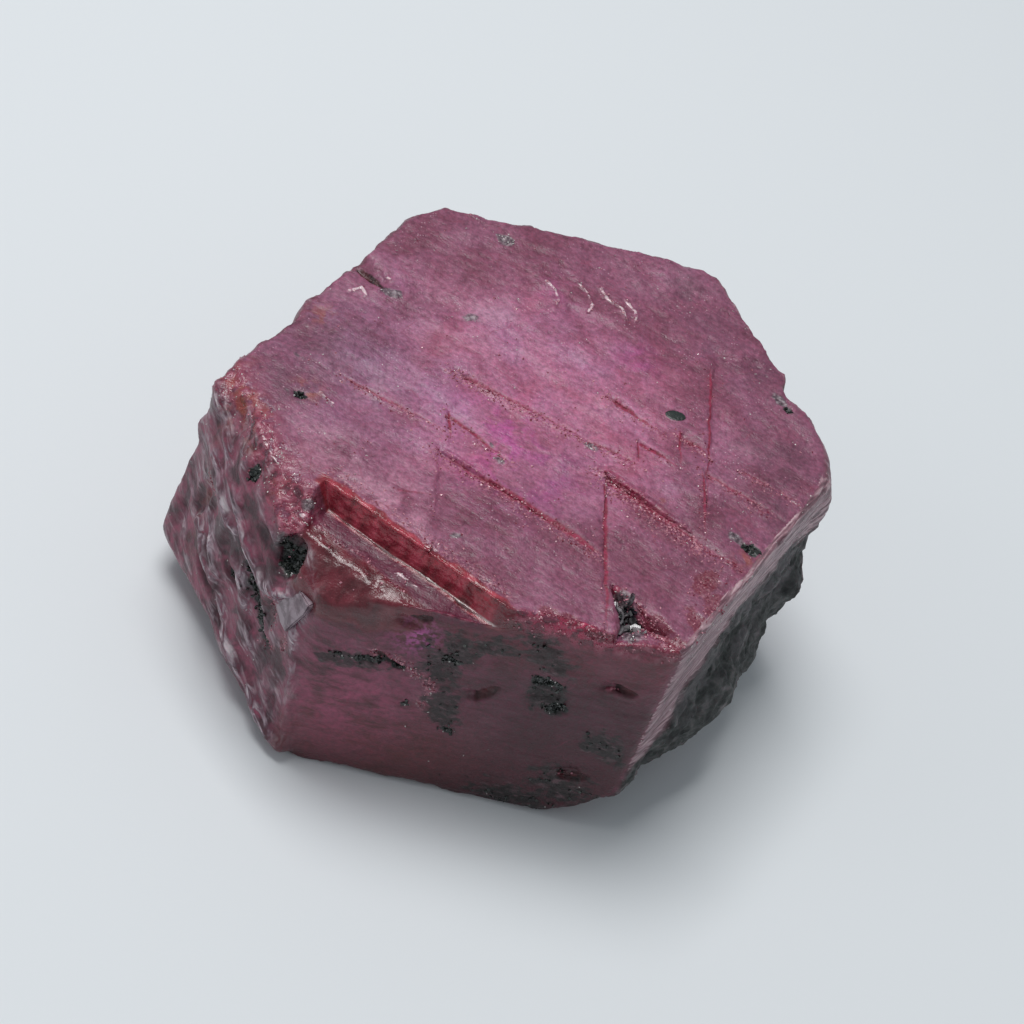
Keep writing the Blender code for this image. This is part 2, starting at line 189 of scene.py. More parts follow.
def wanted_spacing(points, normals):
    """Longest edge wanted at each place: fine on what is seen most, finest along hairlines."""
    z = points[:, 2]
    heading = compass(normals)
    seen = (heading > SEEN_FROM) & (heading < SEEN_TO)
    spacing = np.where(seen, SEEN_SIDE_SPACING, FAR_SIDE_SPACING)
    spacing[(normals[:, 2] > 0.8) | (z > -0.9)] = END_FACE_SPACING
    from_bead = np.hypot(points[:, 0] - BEAD_MIDDLE[0], points[:, 1] - BEAD_MIDDLE[1])
    fine = ((nearest_line(points) < FINE_REACH) | (from_bead < BEAD_REACH)) & (z > -0.7)
    out, along = from_break(points)
    fine |= (out > 11.2) & (out < 12.2) & (along > -5.6) & (along < 6.5) & (z > -1.7)
    spacing[fine] = FINE_SPACING
    for centre, *_ in LENS_PITS:
        spacing[np.linalg.norm(points - np.array(centre), axis=1) < PIT_REACH] = PIT_SPACING
    creased = np.hypot(out - BREAK_CREASE, z + LEDGE_DEPTH) < CREASE_REACH
    spacing[creased & (along > -5.2) & (along < 6.2)] = CREASE_SPACING
    spacing[z < -HEIGHT + 0.01] = BASE_SPACING
    return spacing


def split_long_edges(bm):
    """Halves every edge that is longer than wanted, and says whether there was any."""
    bm.verts.ensure_lookup_table()
    bm.edges.ensure_lookup_table()
    bm.verts.index_update()
    bm.normal_update()
    points = np.array([vert.co for vert in bm.verts]) / MM + AXIS
    normals = np.array([vert.normal for vert in bm.verts])
    ends = np.array([(edge.verts[0].index, edge.verts[1].index) for edge in bm.edges])
    lengths = np.linalg.norm(points[ends[:, 0]] - points[ends[:, 1]], axis=1)
    middles = (points[ends[:, 0]] + points[ends[:, 1]]) / 2
    facing = (normals[ends[:, 0]] + normals[ends[:, 1]]) / 2
    long_ones = np.flatnonzero(lengths > wanted_spacing(middles, facing))
    if len(long_ones):
        chosen = [bm.edges[number] for number in long_ones]
        bmesh.ops.subdivide_edges(bm, edges=chosen, cuts=1)
        bmesh.ops.triangulate(bm, faces=bm.faces)
    return len(long_ones) > 0


def fine_skin(node):
    """A merged copy of the solid, cut into triangles small enough to carve."""
    bm = bmesh.new()
    bm.from_mesh(node.data)
    bmesh.ops.remove_doubles(bm, verts=bm.verts, dist=MERGED_WITHIN * MM)
    for _ in range(SPLIT_ROUNDS):
        if not split_long_edges(bm):
            break
    mesh = bpy.data.meshes.new("crystal")
    bm.to_mesh(mesh)
    bm.free()
    return mesh


skin = fine_skin(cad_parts["ruby_crystal"])

points = np.empty(len(skin.vertices) * 3)
skin.vertices.foreach_get("co", points)
points = points.reshape(-1, 3) / MM + AXIS
triangles = np.empty(len(skin.polygons) * 3, np.int64)
skin.polygons.foreach_get("vertices", triangles)
triangles = triangles.reshape(-1, 3)
on_base = points[:, 2] < -HEIGHT + 0.005


def edge_table(triangles, count):
    """The two ends of every edge, and the two triangles that it joins."""
    ends = np.concatenate([triangles[:, [0, 1]], triangles[:, [1, 2]], triangles[:, [2, 0]]])
    ends = np.sort(ends, axis=1)
    keys = ends[:, 0] * count + ends[:, 1]
    order = np.argsort(keys, kind="stable")
    owners = np.tile(np.arange(len(triangles)), 3)[order].reshape(-1, 2)
    return ends[order[::2]], owners


def triangle_normals(points, triangles):
    a, b, c = (points[triangles[:, corner]] for corner in range(3))
    normals = np.cross(b - a, c - a)
    return normals / (np.linalg.norm(normals, axis=1, keepdims=True) + 1e-12)


def gather(values, ends, count):
    """Sum over each point's neighbours."""
    total = np.zeros((count, values.shape[1]))
    for axis in range(values.shape[1]):
        total[:, axis] += np.bincount(ends[:, 0], values[ends[:, 1], axis], count)
        total[:, axis] += np.bincount(ends[:, 1], values[ends[:, 0], axis], count)
    return total


def neighbour_count(ends, count):
    return np.bincount(ends.ravel(), minlength=count)


def even_surface(points, ends, sharp, rounds, pull=0.6):
    """Melts the solid's small flats together. Points on a sharp edge slide along it alone."""
    count = len(points)
    ridge = ends[sharp]
    around = neighbour_count(ends, count)
    beside = neighbour_count(ridge, count)
    for _ in range(rounds):
        goal = gather(points, ends, count) / around[:, None]
        along = gather(points, ridge, count) / np.maximum(beside, 1)[:, None]
        goal = np.where((beside == 2)[:, None], along, goal)
        goal = np.where(((beside == 1) | (beside > 2))[:, None], points, goal)
        points = points + pull * (goal - points)
        points[on_base, 2] = -HEIGHT
    return points


def vertex_normals(points, triangles, ends, rounds=0):
    """Normals of the points, evened out over their neighbours the given number of times."""
    count = len(points)
    flats = triangle_normals(points, triangles)
    normals = np.zeros((count, 3))
    for axis in range(3):
        for corner in range(3):
            normals[:, axis] += np.bincount(triangles[:, corner], flats[:, axis], count)
    for _ in range(rounds):
        normals = normals + gather(normals, ends, count)
        normals /= np.linalg.norm(normals, axis=1, keepdims=True)
    return normals / np.linalg.norm(normals, axis=1, keepdims=True)


# Only the edges of hairlines, of the broken corner and of the open pit stay crisp. The outer
# edges of the crystal are worn round.
SHARP_FOLD = 36.0
TRENCH_WIDTH = 0.15
MELT_ROUNDS = 12
edges, edge_owners = edge_table(triangles, len(points))
flats = triangle_normals(points, triangles)
fold = np.einsum("ij,ij->i", flats[edge_owners[:, 0]], flats[edge_owners[:, 1]])
out, along = from_break(points)
crisp = np.zeros(len(points), bool)
for start, end, half_width, *_ in GROWTH_LINES:
    if half_width > TRENCH_WIDTH:
        distance, share, _ = along_line(points, start, end)
        crisp |= (distance < 0.5) & (share < 0.7) & (points[:, 2] > -0.8)
crisp |= (out > 11.0) & (out < 14.4) & (along > -5.5) & (along < 6.2) & (points[:, 2] > -2.2)
from_notch = np.hypot(points[:, 0] - NOTCH_MIDDLE[0], points[:, 1] - NOTCH_MIDDLE[1])
crisp |= (from_notch < 2.2) & (points[:, 2] > -2.2)
sharp_edges = (fold < math.cos(math.radians(SHARP_FOLD))) & crisp[edges].all(axis=1)
points = even_surface(points, edges, sharp_edges, MELT_ROUNDS)
points = even_surface(points, edges, np.zeros(len(edges), bool), 1, 0.5)
broad_normals = vertex_normals(points, triangles, edges, 6)
heading = compass(broad_normals)
x, y, z = points.T


def noise_at(places):
    return np.array(list(map(noise.noise, places.tolist())))


def grain(size, seed, stretch=(1.0, 1.0, 1.0)):
    """Smooth random value between about -1 and 1 at every point of the skin."""
    return noise_at(points / (size * np.array(stretch)) + np.array((7.3, 3.1, 5.7)) * seed)


def rough_grain(size, seed, octaves=4, stretch=(1.0, 1.0, 1.0)):
    """Random value with finer and finer detail in it."""
    layers = range(octaves)
    return sum(grain(size / 2.0**n, seed + n, stretch) / 1.7**n for n in layers)


def crests(size, seed, octaves=3, stretch=(1.0, 1.0, 1.0)):
    """Sharp-crested random ridges: about 1 on the crests and 0 in the hollows."""
    total = np.zeros(len(points))
    for octave in range(octaves):
        value = grain(size / 2.0**octave, seed + octave, stretch)
        total += (1.0 - 2.0 * np.abs(value)) / 2.0**octave
    return total / 1.75


def terraces(value, steps):
    """Turns a smooth value into flats with short steep steps between them."""
    whole = np.floor(value * steps)
    return (whole + rise(0.7, 1.0, value * steps - whole)) / steps


def band(low, high, soft=8.0):
    """How much each point belongs to the faces that look between two compass directions."""
    start = rise(low - soft, low + soft, heading)
    return start - rise(high - soft, high + soft, heading)


def inside_outline(sectors=72):
    """How far each point lies inside the outline of the end face, in millimetres."""
    direction = compass(points)
    reach = np.hypot(x, y)
    step = 360.0 / sectors
    sector = (direction // step).astype(int)
    outline = np.zeros(sectors)
    top = z > -0.3
    np.maximum.at(outline, sector[top], reach[top])
    middles = np.arange(sectors) * step + step / 2
    return np.interp(direction, middles, outline, period=360.0) - reach


upness = broad_normals[:, 2]
inner = rise(0.3, 0.7, inside_outline()) * rise(-1.0, -0.6, z)
end_face = np.maximum(rise(0.72, 0.9, upness), inner)
sides = 1.0 - rise(0.62, 0.85, np.abs(upness))
left_side = sides * band(184.0, 234.0)
front_side = sides * band(236.0, 292.0)
outermost = rise(11.8, 13.2, reach_towards(points, math.radians(330.0)))
right_side = sides * band(303.0, 352.0) * outermost
far_side = sides * np.clip(1.0 - band(184.0, 352.0), 0.0, 1.0)
underside = rise(0.3, 0.75, -upness)
rim = rise(0.35, 0.55, upness) * (1.0 - rise(0.9, 0.97, upness))

wander = np.stack([grain(0.8, 21), grain(0.8, 23)], axis=1) * 0.09
wander += np.stack([grain(0.25, 22), grain(0.25, 24)], axis=1) * 0.05
wandered = points.copy()
wandered[:, :2] += wander

# --------------------
# The end face: flat and silky, with low growth terraces, hairlines and three-sided steps where
# the growth layers meet. The hairlines are blood red inside and crumbly on their lower side.

lift = np.zeros(len(points))
line_red = lift.copy()
line_crumb = lift.copy()
near_end_face = rise(-1.1, -0.4, z) * rise(0.3, 0.6, upness)
near_end_face = np.maximum(near_end_face, inner)
for start, end, half_width, depth, red, crumb in GROWTH_LINES:
    distance, share, left = along_line(wandered, start, end)
    taper = rise(0.0, 0.1, share) * (1.0 - 0.85 * rise(0.45, 1.0, share))
    inside = bell(distance, half_width * (0.45 + 0.65 * taper)) * near_end_face
    lift -= depth * inside * (0.3 + 0.7 * taper)
    line_red = np.maximum(line_red, red * inside * (0.45 + 0.55 * taper))
    border = bell(distance, 2.8 * half_width + 0.12)
    border = border * rise(0.3, -0.2, math.copysign(1.0, crumb) * left)
    line_crumb = np.maximum(line_crumb, abs(crumb) * border * near_end_face)

lift += line_crumb * 0.06 * (grain(0.3, 31) + 0.6 * grain(0.15, 32))
growth = terraces(0.5 + 0.5 * rough_grain(4.2, 41, 3), 7)
lift += end_face * (0.3 * (growth - 0.5) + 0.022 * rough_grain(1.1, 44, 3))
back_half = rise(2.0, 8.0, y) * end_face
lift += back_half * 0.11 * crests(1.9, 47, 3, (1.3, 0.8, 1.0))
curved_glints = np.zeros(len(points))
for path in CURVED_GLINTS:
    distance = from_path(points, path) + 0.06 * grain(0.4, 48)
    curved_glints = np.maximum(curved_glints, bell(distance, 0.1))
lift += 0.07 * curved_glints
lift += rim * 0.08 * rough_grain(1.2, 49, 3)

# --------------------
# The broken corner: a glassy dark red wall over a narrow purple ledge, and below the ledge a
# slope of the same red glass with crumbs of crushed ruby along its upper edge.

out, along = from_break(points)
break_wobble = 0.2 * grain(1.3, 51) + 0.16 * grain(0.5, 52)
in_break = rise(BREAK_LEFT_END - 0.5, BREAK_LEFT_END, along)
in_break *= 1.0 - rise(BREAK_RIGHT_END - 0.5, BREAK_RIGHT_END + 0.5, along)
wall = in_break * rise(11.2, 11.4, out + break_wobble)
wall *= 1.0 - rise(11.95, 12.15, out)
wall *= rise(-1.75, -1.5, z)
wall_end = rise(5.2, 6.0, along) * (1.0 - rise(6.8, 7.6, along))
wall_end *= rise(11.2, 11.7, out + 2.0 * break_wobble) * rise(-1.9, -1.3, z)
slope_below = rise(-4.4, -3.9, along)
slope_below *= 1.0 - rise(1.2, 3.6, along + 1.2 * grain(0.8, 54))
slope_below *= rise(13.1, 13.5, out + 0.3 * grain(0.7, 58))
slope_below *= rise(-4.0, -3.2, z + 0.5 * grain(0.9, 56))
slope_below *= rise(-1.0, -1.3, z)
ledge = in_break * rise(11.95, 12.1, out) * (1.0 - rise(13.5, 14.0, out))
ledge *= rise(-1.0, -1.2, z) * rise(-2.2, -1.8, z)
above_ledge = z + LEDGE_DEPTH
# Along the crease between wall and ledge runs a thin rib, which the finish paints with a pale highlight.
crease_distance = np.hypot(out - BREAK_CREASE - 0.06 * grain(1.5, 53), above_ledge)
crease_highlight = bell(crease_distance, 0.055) * in_break
ledge_edge = bell(np.hypot(out - BREAK_LEDGE_EDGE, above_ledge), 0.2) * in_break
ledge_line = np.hypot(out - BREAK_LEDGE_EDGE + 0.7 + 0.3 * grain(2.0, 59), above_ledge)
second_line = bell(ledge_line, 0.09) * in_break * rise(-4.4, -3.8, along)
second_line *= 1.0 - rise(1.0, 2.5, along)
wall_top = bell(out - 11.0 + 1.5 * break_wobble, 0.4) * in_break * rise(-0.8, -0.4, z)
red_glass = np.clip(wall + slope_below + 0.8 * wall_end, 0.0, 1.0)
lift += wall * 0.05 * crests(1.2, 55, 2, (1.0, 1.0, 0.4))
lift += ledge_edge * 0.07 * rough_grain(0.5, 57, 3)
lift += slope_below * 0.025 * rough_grain(0.9, 60, 3)
lift += crease_highlight * 0.06 + second_line * 0.03

# --------------------
# The left side: a worn side where ridges of pale grey-lilac mica slant down towards the front,
# with dark red hollows between them and a few holes lined with dark hornblende.

LEFT_RUN = np.array((0.504, -0.864, 0.0))
FIBRE_SLOPE = math.radians(24.0)
# Ridges of the left side: half width, height, then the places that each runs through.
LEFT_RIDGES = (
    (0.42, 0.34, (-15.8, -2.2, -0.7), (-14.9, -4.5, -2.0), (-13.9, -7.2, -3.2),
     (-12.7, -8.8, -4.8), (-11.6, -10.2, -5.6), (-10.4, -11.7, -4.6)),
    (0.45, 0.32, (-15.2, -4.0, -9.0), (-14.1, -6.7, -9.4), (-13.0, -7.9, -11.7),
     (-11.9, -9.9, -12.5), (-10.7, -11.4, -13.2), (-9.1, -13.0, -14.2)),
    (0.36, 0.16, (-10.0, -12.1, -4.3), (-9.6, -12.3, -7.5), (-9.2, -12.8, -9.8),
     (-9.0, -13.0, -12.3), (-8.7, -13.0, -14.3)),
    (0.3, 0.24, (-15.6, -3.5, -3.4), (-14.5, -6.3, -4.5), (-13.0, -8.5, -6.1), (-12.4, -9.1, -8.6),
     (-11.7, -10.2, -10.8)),
    (0.3, 0.22, (-16.3, -1.6, -3.6), (-15.9, -3.4, -5.6), (-14.8, -5.2, -7.6),
     (-13.6, -7.4, -9.0)),
)
# The ridge along the corner between the left and the front side.
EDGE_RIDGE = 2
# Hollows on the sides: place, radius, stretch, direction of the long axis, depth.
DOWN = (0.0, 0.0, -1.0)
SLANT = (0.46, -0.79, -0.41)
LEFT_HOLLOWS = (
    ((-13.3, -8.1, -5.8), 0.58, 2.0, (0.14, -0.3, -0.94), 0.3),
    ((-11.2, -10.7, -7.2), 0.55, 2.0, DOWN, 0.3), ((-15.5, -3.5, -8.0), 0.52, 2.2, DOWN, 0.3),
    ((-14.4, -6.0, -10.6), 0.75, 1.7, SLANT, 0.34), ((-13.1, -7.8, -12.0), 0.52, 1.7, SLANT, 0.26),
    ((-11.4, -10.4, -14.0), 0.4, 2.0, SLANT, 0.15), ((-10.9, -11.0, -9.8), 0.55, 1.8, DOWN, 0.25),
    ((-13.2, -8.0, -8.0), 0.45, 2.2, SLANT, 0.26), ((-10.95, -10.5, -2.9), 0.85, 1.6, DOWN, 0.4),
    ((-12.2, -9.4, -3.0), 0.45, 1.8, SLANT, 0.16), ((-15.2, -4.9, -4.2), 0.36, 2.2, SLANT, 0.18),
    ((-9.9, -12.2, -12.2), 0.32, 2.4, DOWN, 0.15),
)
GROOVE = ((-12.6, -8.9, -5.9), (-12.1, -9.3, -7.2), (-11.6, -10.1, -8.1), (-11.3, -10.5, -9.2))
FLAKE_MIDDLE = (-10.15, -11.85, -5.1)


def spot(centre, radius, stretch, direction, ragged, low=0.65, high=1.15):
    """1 in the middle of a long ragged spot and 0 outside it."""
    axis = np.array(direction) / np.linalg.norm(direction)
    rest = points - np.array(centre)
    lengthwise = rest @ axis
    square = np.einsum("ij,ij->i", rest, rest) - (1.0 - 1.0 / stretch**2) * lengthwise**2
    distance = np.sqrt(np.maximum(square, 0.0)) / radius
    return 1.0 - rise(low, high, distance + ragged)


left_run = points @ LEFT_RUN
fibre_across = z * math.cos(FIBRE_SLOPE) + left_run * math.sin(FIBRE_SLOPE)
fibre_length = left_run * math.cos(FIBRE_SLOPE) - z * math.sin(FIBRE_SLOPE)
fibre_depth = x * 0.864 + y * 0.504


def fibres(size, seed, octaves=3, longer=5.0):
    """Long ridges that slant down along the left side."""
    total = np.zeros(len(points))
    for octave in range(octaves):
        reach = size / 2.0**octave
        places = np.stack([fibre_across / reach, fibre_length / (reach * longer), fibre_depth / reach])
        value = noise_at(places.T + 9.1 * (seed + octave))
        total += (1.0 - 2.0 * np.abs(value)) / 1.6**octave
    return total / 2.0


left_fibres = fibres(1.5, 61)
bulges = grain(3.2, 62, (1.0, 1.0, 1.3))
ridge_crest = np.zeros(len(points))
for half_width, height, *path in LEFT_RIDGES:
    crest = bell(from_path(points, path) + 0.25 * grain(1.1, 63), half_width)
    ridge_crest = np.maximum(ridge_crest, crest)
    lift += crest * height * 1.15
edge_ridge = bell(from_path(points, LEFT_RIDGES[EDGE_RIDGE][2:]), 0.8)
left_or_edge = np.clip(left_side + 0.3 * edge_ridge, 0.0, 1.0)
ragged = 0.3 * grain(0.7, 101) + 0.25 * grain(0.3, 102)
hollow = np.zeros(len(points))
for centre, radius, stretch, direction, depth in LEFT_HOLLOWS:
    inside = spot(centre, radius, stretch, direction, 0.7 * ragged, 0.4, 1.4)
    hollow = np.maximum(hollow, inside)
    lift -= depth * inside
groove = bell(from_path(points, GROOVE) + 0.15 * grain(0.5, 64), 0.42)
lift -= 0.3 * groove
flake = spot(FLAKE_MIDDLE, 0.95, 1.5, (0.35, -0.5, 0.6), 0.35 * ragged, 0.75, 1.0)
lift += left_side * (0.15 * left_fibres + 0.22 * bulges - 0.12)
lift *= 1.0 - flake

# --------------------
# The worn rim between the end face and the left side: a pinkish red crust with lumps and wet
# glints, stained orange by iron here and there.

RIM_CRUST = (
    (-15.6, -1.5, -0.1), (-14.6, -3.3, -0.2), (-13.4, -5.3, -0.2), (-12.2, -7.2, -0.6),
    (-10.9, -9.2, -1.0),
)
crust = bell(from_path(points, RIM_CRUST) + 0.4 * grain(0.9, 65), 1.05)
crust *= rise(-2.2, -1.2, z)
lift += crust * (0.1 * rough_grain(0.75, 66, 3) - 0.02)

# --------------------
# The front side: a worn face with faint level streaks, a crumbly red upper edge, red glassy lens
# pits and patches where black hornblende crumbles out.

FRONT_VEIN = ((-5.8, -13.1, -5.3), (-4.2, -13.2, -5.7), (-2.6, -13.1, -7.0), (-2.7, -13.2, -8.6))
front_streaks = grain(0.55, 75, (5.0, 5.0, 0.5))
front_relief = 0.05 * rough_grain(1.7, 71) + 0.045 * front_streaks
lift += front_side * (front_relief + 0.02 * grain(0.3, 76, (3.0, 3.0, 0.5)))
front_edge = front_side * rise(-1.6, -0.5, z + 0.5 * grain(0.8, 77))
front_edge = np.clip(front_edge + rim * band(236.0, 296.0), 0.0, 1.0)
front_rubble = front_edge * (0.55 + 0.9 * bell(x - 2.8, 2.8))
lift += front_rubble * 0.12 * rough_grain(0.7, 78, 3)
vein = bell(from_path(points, FRONT_VEIN) + 0.25 * grain(0.6, 79), 0.24)
lift += vein * 0.1 * rough_grain(0.4, 80, 2)
front_glow = front_side * np.exp(-(((x + 6.8) / 3.2) ** 2 + ((z + 9.3) / 3.6) ** 2))

# --------------------
# The right side: a rind of dark grey-green host rock, rough and lumpy, that leaves a strip of
# pale fibres bare along the upper edge.

RIM_RUN = math.radians(240.0)
along_rim = reach_towards(points, RIM_RUN)
rock_start = 3.1 + 1.05 * np.clip(along_rim - 1.0, 0.0, 12.0)
rock_start = rock_start + 1.0 * grain(2.2, 81) + 0.7 * grain(0.8, 82)
rock = right_side * rise(-0.4, 0.9, -z - rock_start)
lift += rock * (0.3 * rough_grain(1.7, 83) + 0.16 * crests(0.8, 87, 2))
strip = np.clip(right_side + rim * band(300.0, 356.0) * outermost, 0.0, 1.0) * (1.0 - rock)
strip_across = z + 0.16 * along_rim
strip_places = np.stack([strip_across / 0.45, along_rim / 5.0, rough_grain(2.5, 84, 2)], axis=1)
strip_fibres = 1.0 - 2.0 * np.abs(noise_at(strip_places))
lift += right_side * (1.0 - rock) * 0.05 * strip_fibres
lift += 0.25 * spot((14.4, -2.4, -5.2), 1.0, 1.4, (0.5, 0.8, 0.0), ragged)

# --------------------
# The far side and the underside: worn like the rest, with shallow fibrous relief and rock rind
# in the hollows. The flat of the base is left flat.

far_crests = crests(2.4, 91, 4, (1.0, 1.0, 1.8))
far_patches = rough_grain(3.0, 97, 3)
lift += far_side * (0.26 * far_crests - 0.12)
lift += underside * 0.12 * rough_grain(1.2, 95)

# --------------------
# Spots of other minerals that grew with the ruby: black hornblende, grey feldspar and mica, and
# small pits where the ruby shows as clear red glass. Each has a place, a radius, a stretch and
# the direction of its long axis.

SPOTS = {
    "glossy": (
        ((*BEAD_MIDDLE, 0.0), 0.36, 1.6, (1.0, 0.05, 0.0)),
    ),
    "grey": (
        ((-1.5, -3.75, 0.0), 0.2, 1.9, (0.75, -0.66, 0.0)),
        ((-1.95, -2.75, 0.0), 0.16, 1.6, (0.9, -0.4, 0.0)),
        ((3.1, -1.35, 0.0), 0.28, 1.6, (0.9, -0.4, 0.0)), ((-3.4, -9.3, 0.0), 0.24, 1.6, (1.0, 0.1, 0.0)),
        ((11.0, -5.5, 0.0), 0.34, 2.2, (0.8, -0.6, 0.0)),
        ((13.35, 5.1, 0.0), 0.42, 1.9, (0.7, -0.7, 0.0)),
        ((-12.6, -2.25, -0.2), 0.28, 2.2, (0.9, 0.2, 0.0)),
        ((-12.2, 0.3, -0.1), 0.16, 4.0, (0.85, -0.5, 0.0)),
        ((-8.1, 6.4, -0.1), 0.42, 1.8, (0.9, -0.3, 0.0)), ((-3.7, 5.9, 0.0), 0.4, 1.4, (0.9, 0.3, 0.0)),
        ((-2.2, 12.4, 0.0), 0.45, 1.4, (0.8, -0.5, 0.0)),
        ((-10.6, -8.8, -0.7), 0.36, 1.2, (0.5, -0.8, 0.0)),
        ((5.3, -11.1, -0.6), 0.7, 1.4, (0.2, -0.9, -0.1)),
        ((5.8, -12.6, -0.6), 0.66, 1.4, (0.5, -0.8, 0.0)), ((-11.5, -9.9, -2.5), 0.4, 1.9, DOWN),
    ),
    "black": (
        ((11.65, -5.95, 0.0), 0.42, 1.6, (0.9, -0.4, 0.0)),
        ((13.8, 4.4, -0.1), 0.3, 1.6, (0.7, -0.7, 0.0)),
        ((-11.9, -2.35, -0.1), 0.26, 1.6, (0.9, -0.2, 0.0)),
        ((5.5, -12.0, -0.7), 0.5, 1.4, (0.9, -0.2, 0.0)), ((-13.2, -6.9, -1.4), 0.5, 1.2, DOWN),
        ((-10.9, -10.6, -3.0), 0.66, 1.9, DOWN), ((-13.2, -8.0, -8.0), 0.3, 2.2, SLANT),
        ((-6.0, -13.2, -6.0), 0.38, 2.5, (1.0, 0.0, 0.1)),
        ((-7.6, -13.2, -6.05), 0.2, 1.8, (1.0, 0.0, 0.1)),
        ((-4.6, -13.2, -6.1), 0.2, 2.2, (1.0, 0.0, -0.1)),
        ((-2.1, -13.2, -4.7), 0.3, 2.0, (0.8, 0.0, -0.6)),
        ((2.7, -13.3, -4.7), 0.46, 2.0, (1.0, 0.0, -0.25)),
        ((3.6, -13.3, -6.4), 0.4, 2.2, (1.0, 0.0, 0.1)), ((-3.6, -13.2, -8.8), 0.18, 1.4, DOWN),
        ((-1.1, -13.2, -10.1), 0.22, 2.2, (1.0, 0.0, -0.3)),
    ),
    "stain": (
        ((10.0, -10.2, 0.0), 0.75, 1.4, (0.88, -0.47, 0.0)),
        ((9.3, -8.9, 0.0), 0.55, 1.8, (0.5, 0.8, 0.0)), ((9.0, -11.6, -0.1), 0.45, 2.4, (0.6, -0.8, 0.0)),
        ((-4.5, -10.6, 0.0), 0.28, 1.9, (0.8, -0.6, 0.0)),
        ((6.9, -12.3, -0.1), 0.46, 3.0, (0.67, -0.72, 0.0)),
        ((7.9, -13.2, -0.2), 0.5, 1.4, (0.2, -0.9, 0.0)),
        ((1.6, -12.85, 0.0), 0.26, 2.4, (1.0, -0.3, 0.0)),
        ((2.6, -13.05, 0.0), 0.28, 2.0, (1.0, -0.3, 0.0)),
        ((4.2, -13.4, -0.3), 0.4, 2.2, (1.0, 0.0, 0.0)),
        ((-9.7, -12.05, -2.6), 0.4, 1.9, (0.3, -0.8, -0.5)),
        ((-11.0, -11.0, -9.2), 0.4, 2.2, (-0.36, 0.66, -0.65)), ((-10.1, -12.0, -7.6), 0.4, 1.6, DOWN),
        ((-11.15, -10.75, -6.7), 0.62, 1.7, DOWN), ((-15.0, -4.8, -5.4), 0.34, 2.4, SLANT),
    ),
    "murk": (
        ((-6.6, -13.2, -6.3), 0.62, 3.0, (1.0, 0.0, 0.15)),
        ((-2.5, -13.2, -5.6), 1.05, 2.0, (0.4, 0.0, -1.0)),
        ((-2.0, -13.2, -3.7), 0.9, 1.6, (0.3, 0.0, -1.0)),
        ((3.0, -13.3, -5.7), 1.1, 1.3, (0.7, 0.0, -1.0)),
        ((2.1, -13.3, -2.6), 1.0, 1.9, (1.0, 0.0, -0.8)),
        ((-0.4, -13.2, -2.9), 0.7, 2.2, (1.0, 0.0, 0.0)),
        ((-1.6, -13.2, -8.6), 0.9, 1.8, (0.3, 0.0, -1.0)),
        ((6.8, -13.4, -8.6), 1.0, 1.5, (1.0, 0.0, -0.5)),
        ((5.6, -13.4, -12.4), 1.3, 1.6, (1.0, 0.0, -0.4)),
        ((3.0, -13.3, -14.2), 1.1, 2.4, (1.0, 0.0, 0.0)),
    ),
    "red": (
        ((-9.2, 7.4, -0.2), 0.3, 3.6, (0.75, -0.66, 0.1)),
        *LENS_PITS,
    ),
}
# How ragged the outline of each kind is, and the two distances between which it fades out.
OUTLINES = {
    "glossy": (0.0, 0.85, 1.05),
    "grey": (1.0, 0.65, 1.15),
    "black": (1.0, 0.65, 1.15),
    "stain": (0.9, 0.2, 1.5),
    "murk": (1.1, 0.1, 1.6),
    "red": (0.35, 0.75, 1.05),
}
masks = {}
for kind, spots in SPOTS.items():
    amount, low, high = OUTLINES[kind]
    masks[kind] = np.zeros(len(points))
    for place, radius, stretch, direction in spots:
        shape = spot(place, radius, stretch, direction, amount * ragged, low, high)
        masks[kind] = np.maximum(masks[kind], shape)
lift += masks["black"] * (0.16 * rough_grain(0.55, 105, 3) - 0.1)
lift += masks["glossy"] * 0.05
lift += masks["murk"] * 0.07 * rough_grain(0.5, 106, 3)
lift -= masks["red"] * 0.22
lift -= masks["stain"] * 0.06 * (1.0 + rough_grain(0.4, 107, 3))
lift += masks["murk"] * 0.05 * front_streaks

# The end face is pushed straight up, so that its fine steps never fold over.
outward = vertex_normals(points, triangles, edges, 2) * (1.0 - end_face[:, None])
outward[:, 2] += end_face
points = points + outward * lift[:, None]
points[on_base, 2] = -HEIGHT
points[~on_base, 2] = np.maximum(points[~on_base, 2], -HEIGHT + 0.02)
x, y, z = points.T

skin.vertices.foreach_set("co", ((points - AXIS) * MM).ravel())
skin.update()
skin.shade_smooth()


def keep_masks(values):
    """Stores each mask on the skin, where the finish and the loose grains read it."""
    for name, amounts in values.items():
        attribute = skin.attributes.new(name, "FLOAT", "POINT")
        attribute.data.foreach_set("value", np.clip(amounts, 0.0, 1.0).astype(np.float32))


def clouds_at(*places):
    """Soft round clouds on the end face, each from its strength, place and reach."""
    return sum(
        strength * np.exp(-((x - across) ** 2 + (y - up) ** 2) / reach**2)
        for strength, across, up, reach in places
    )
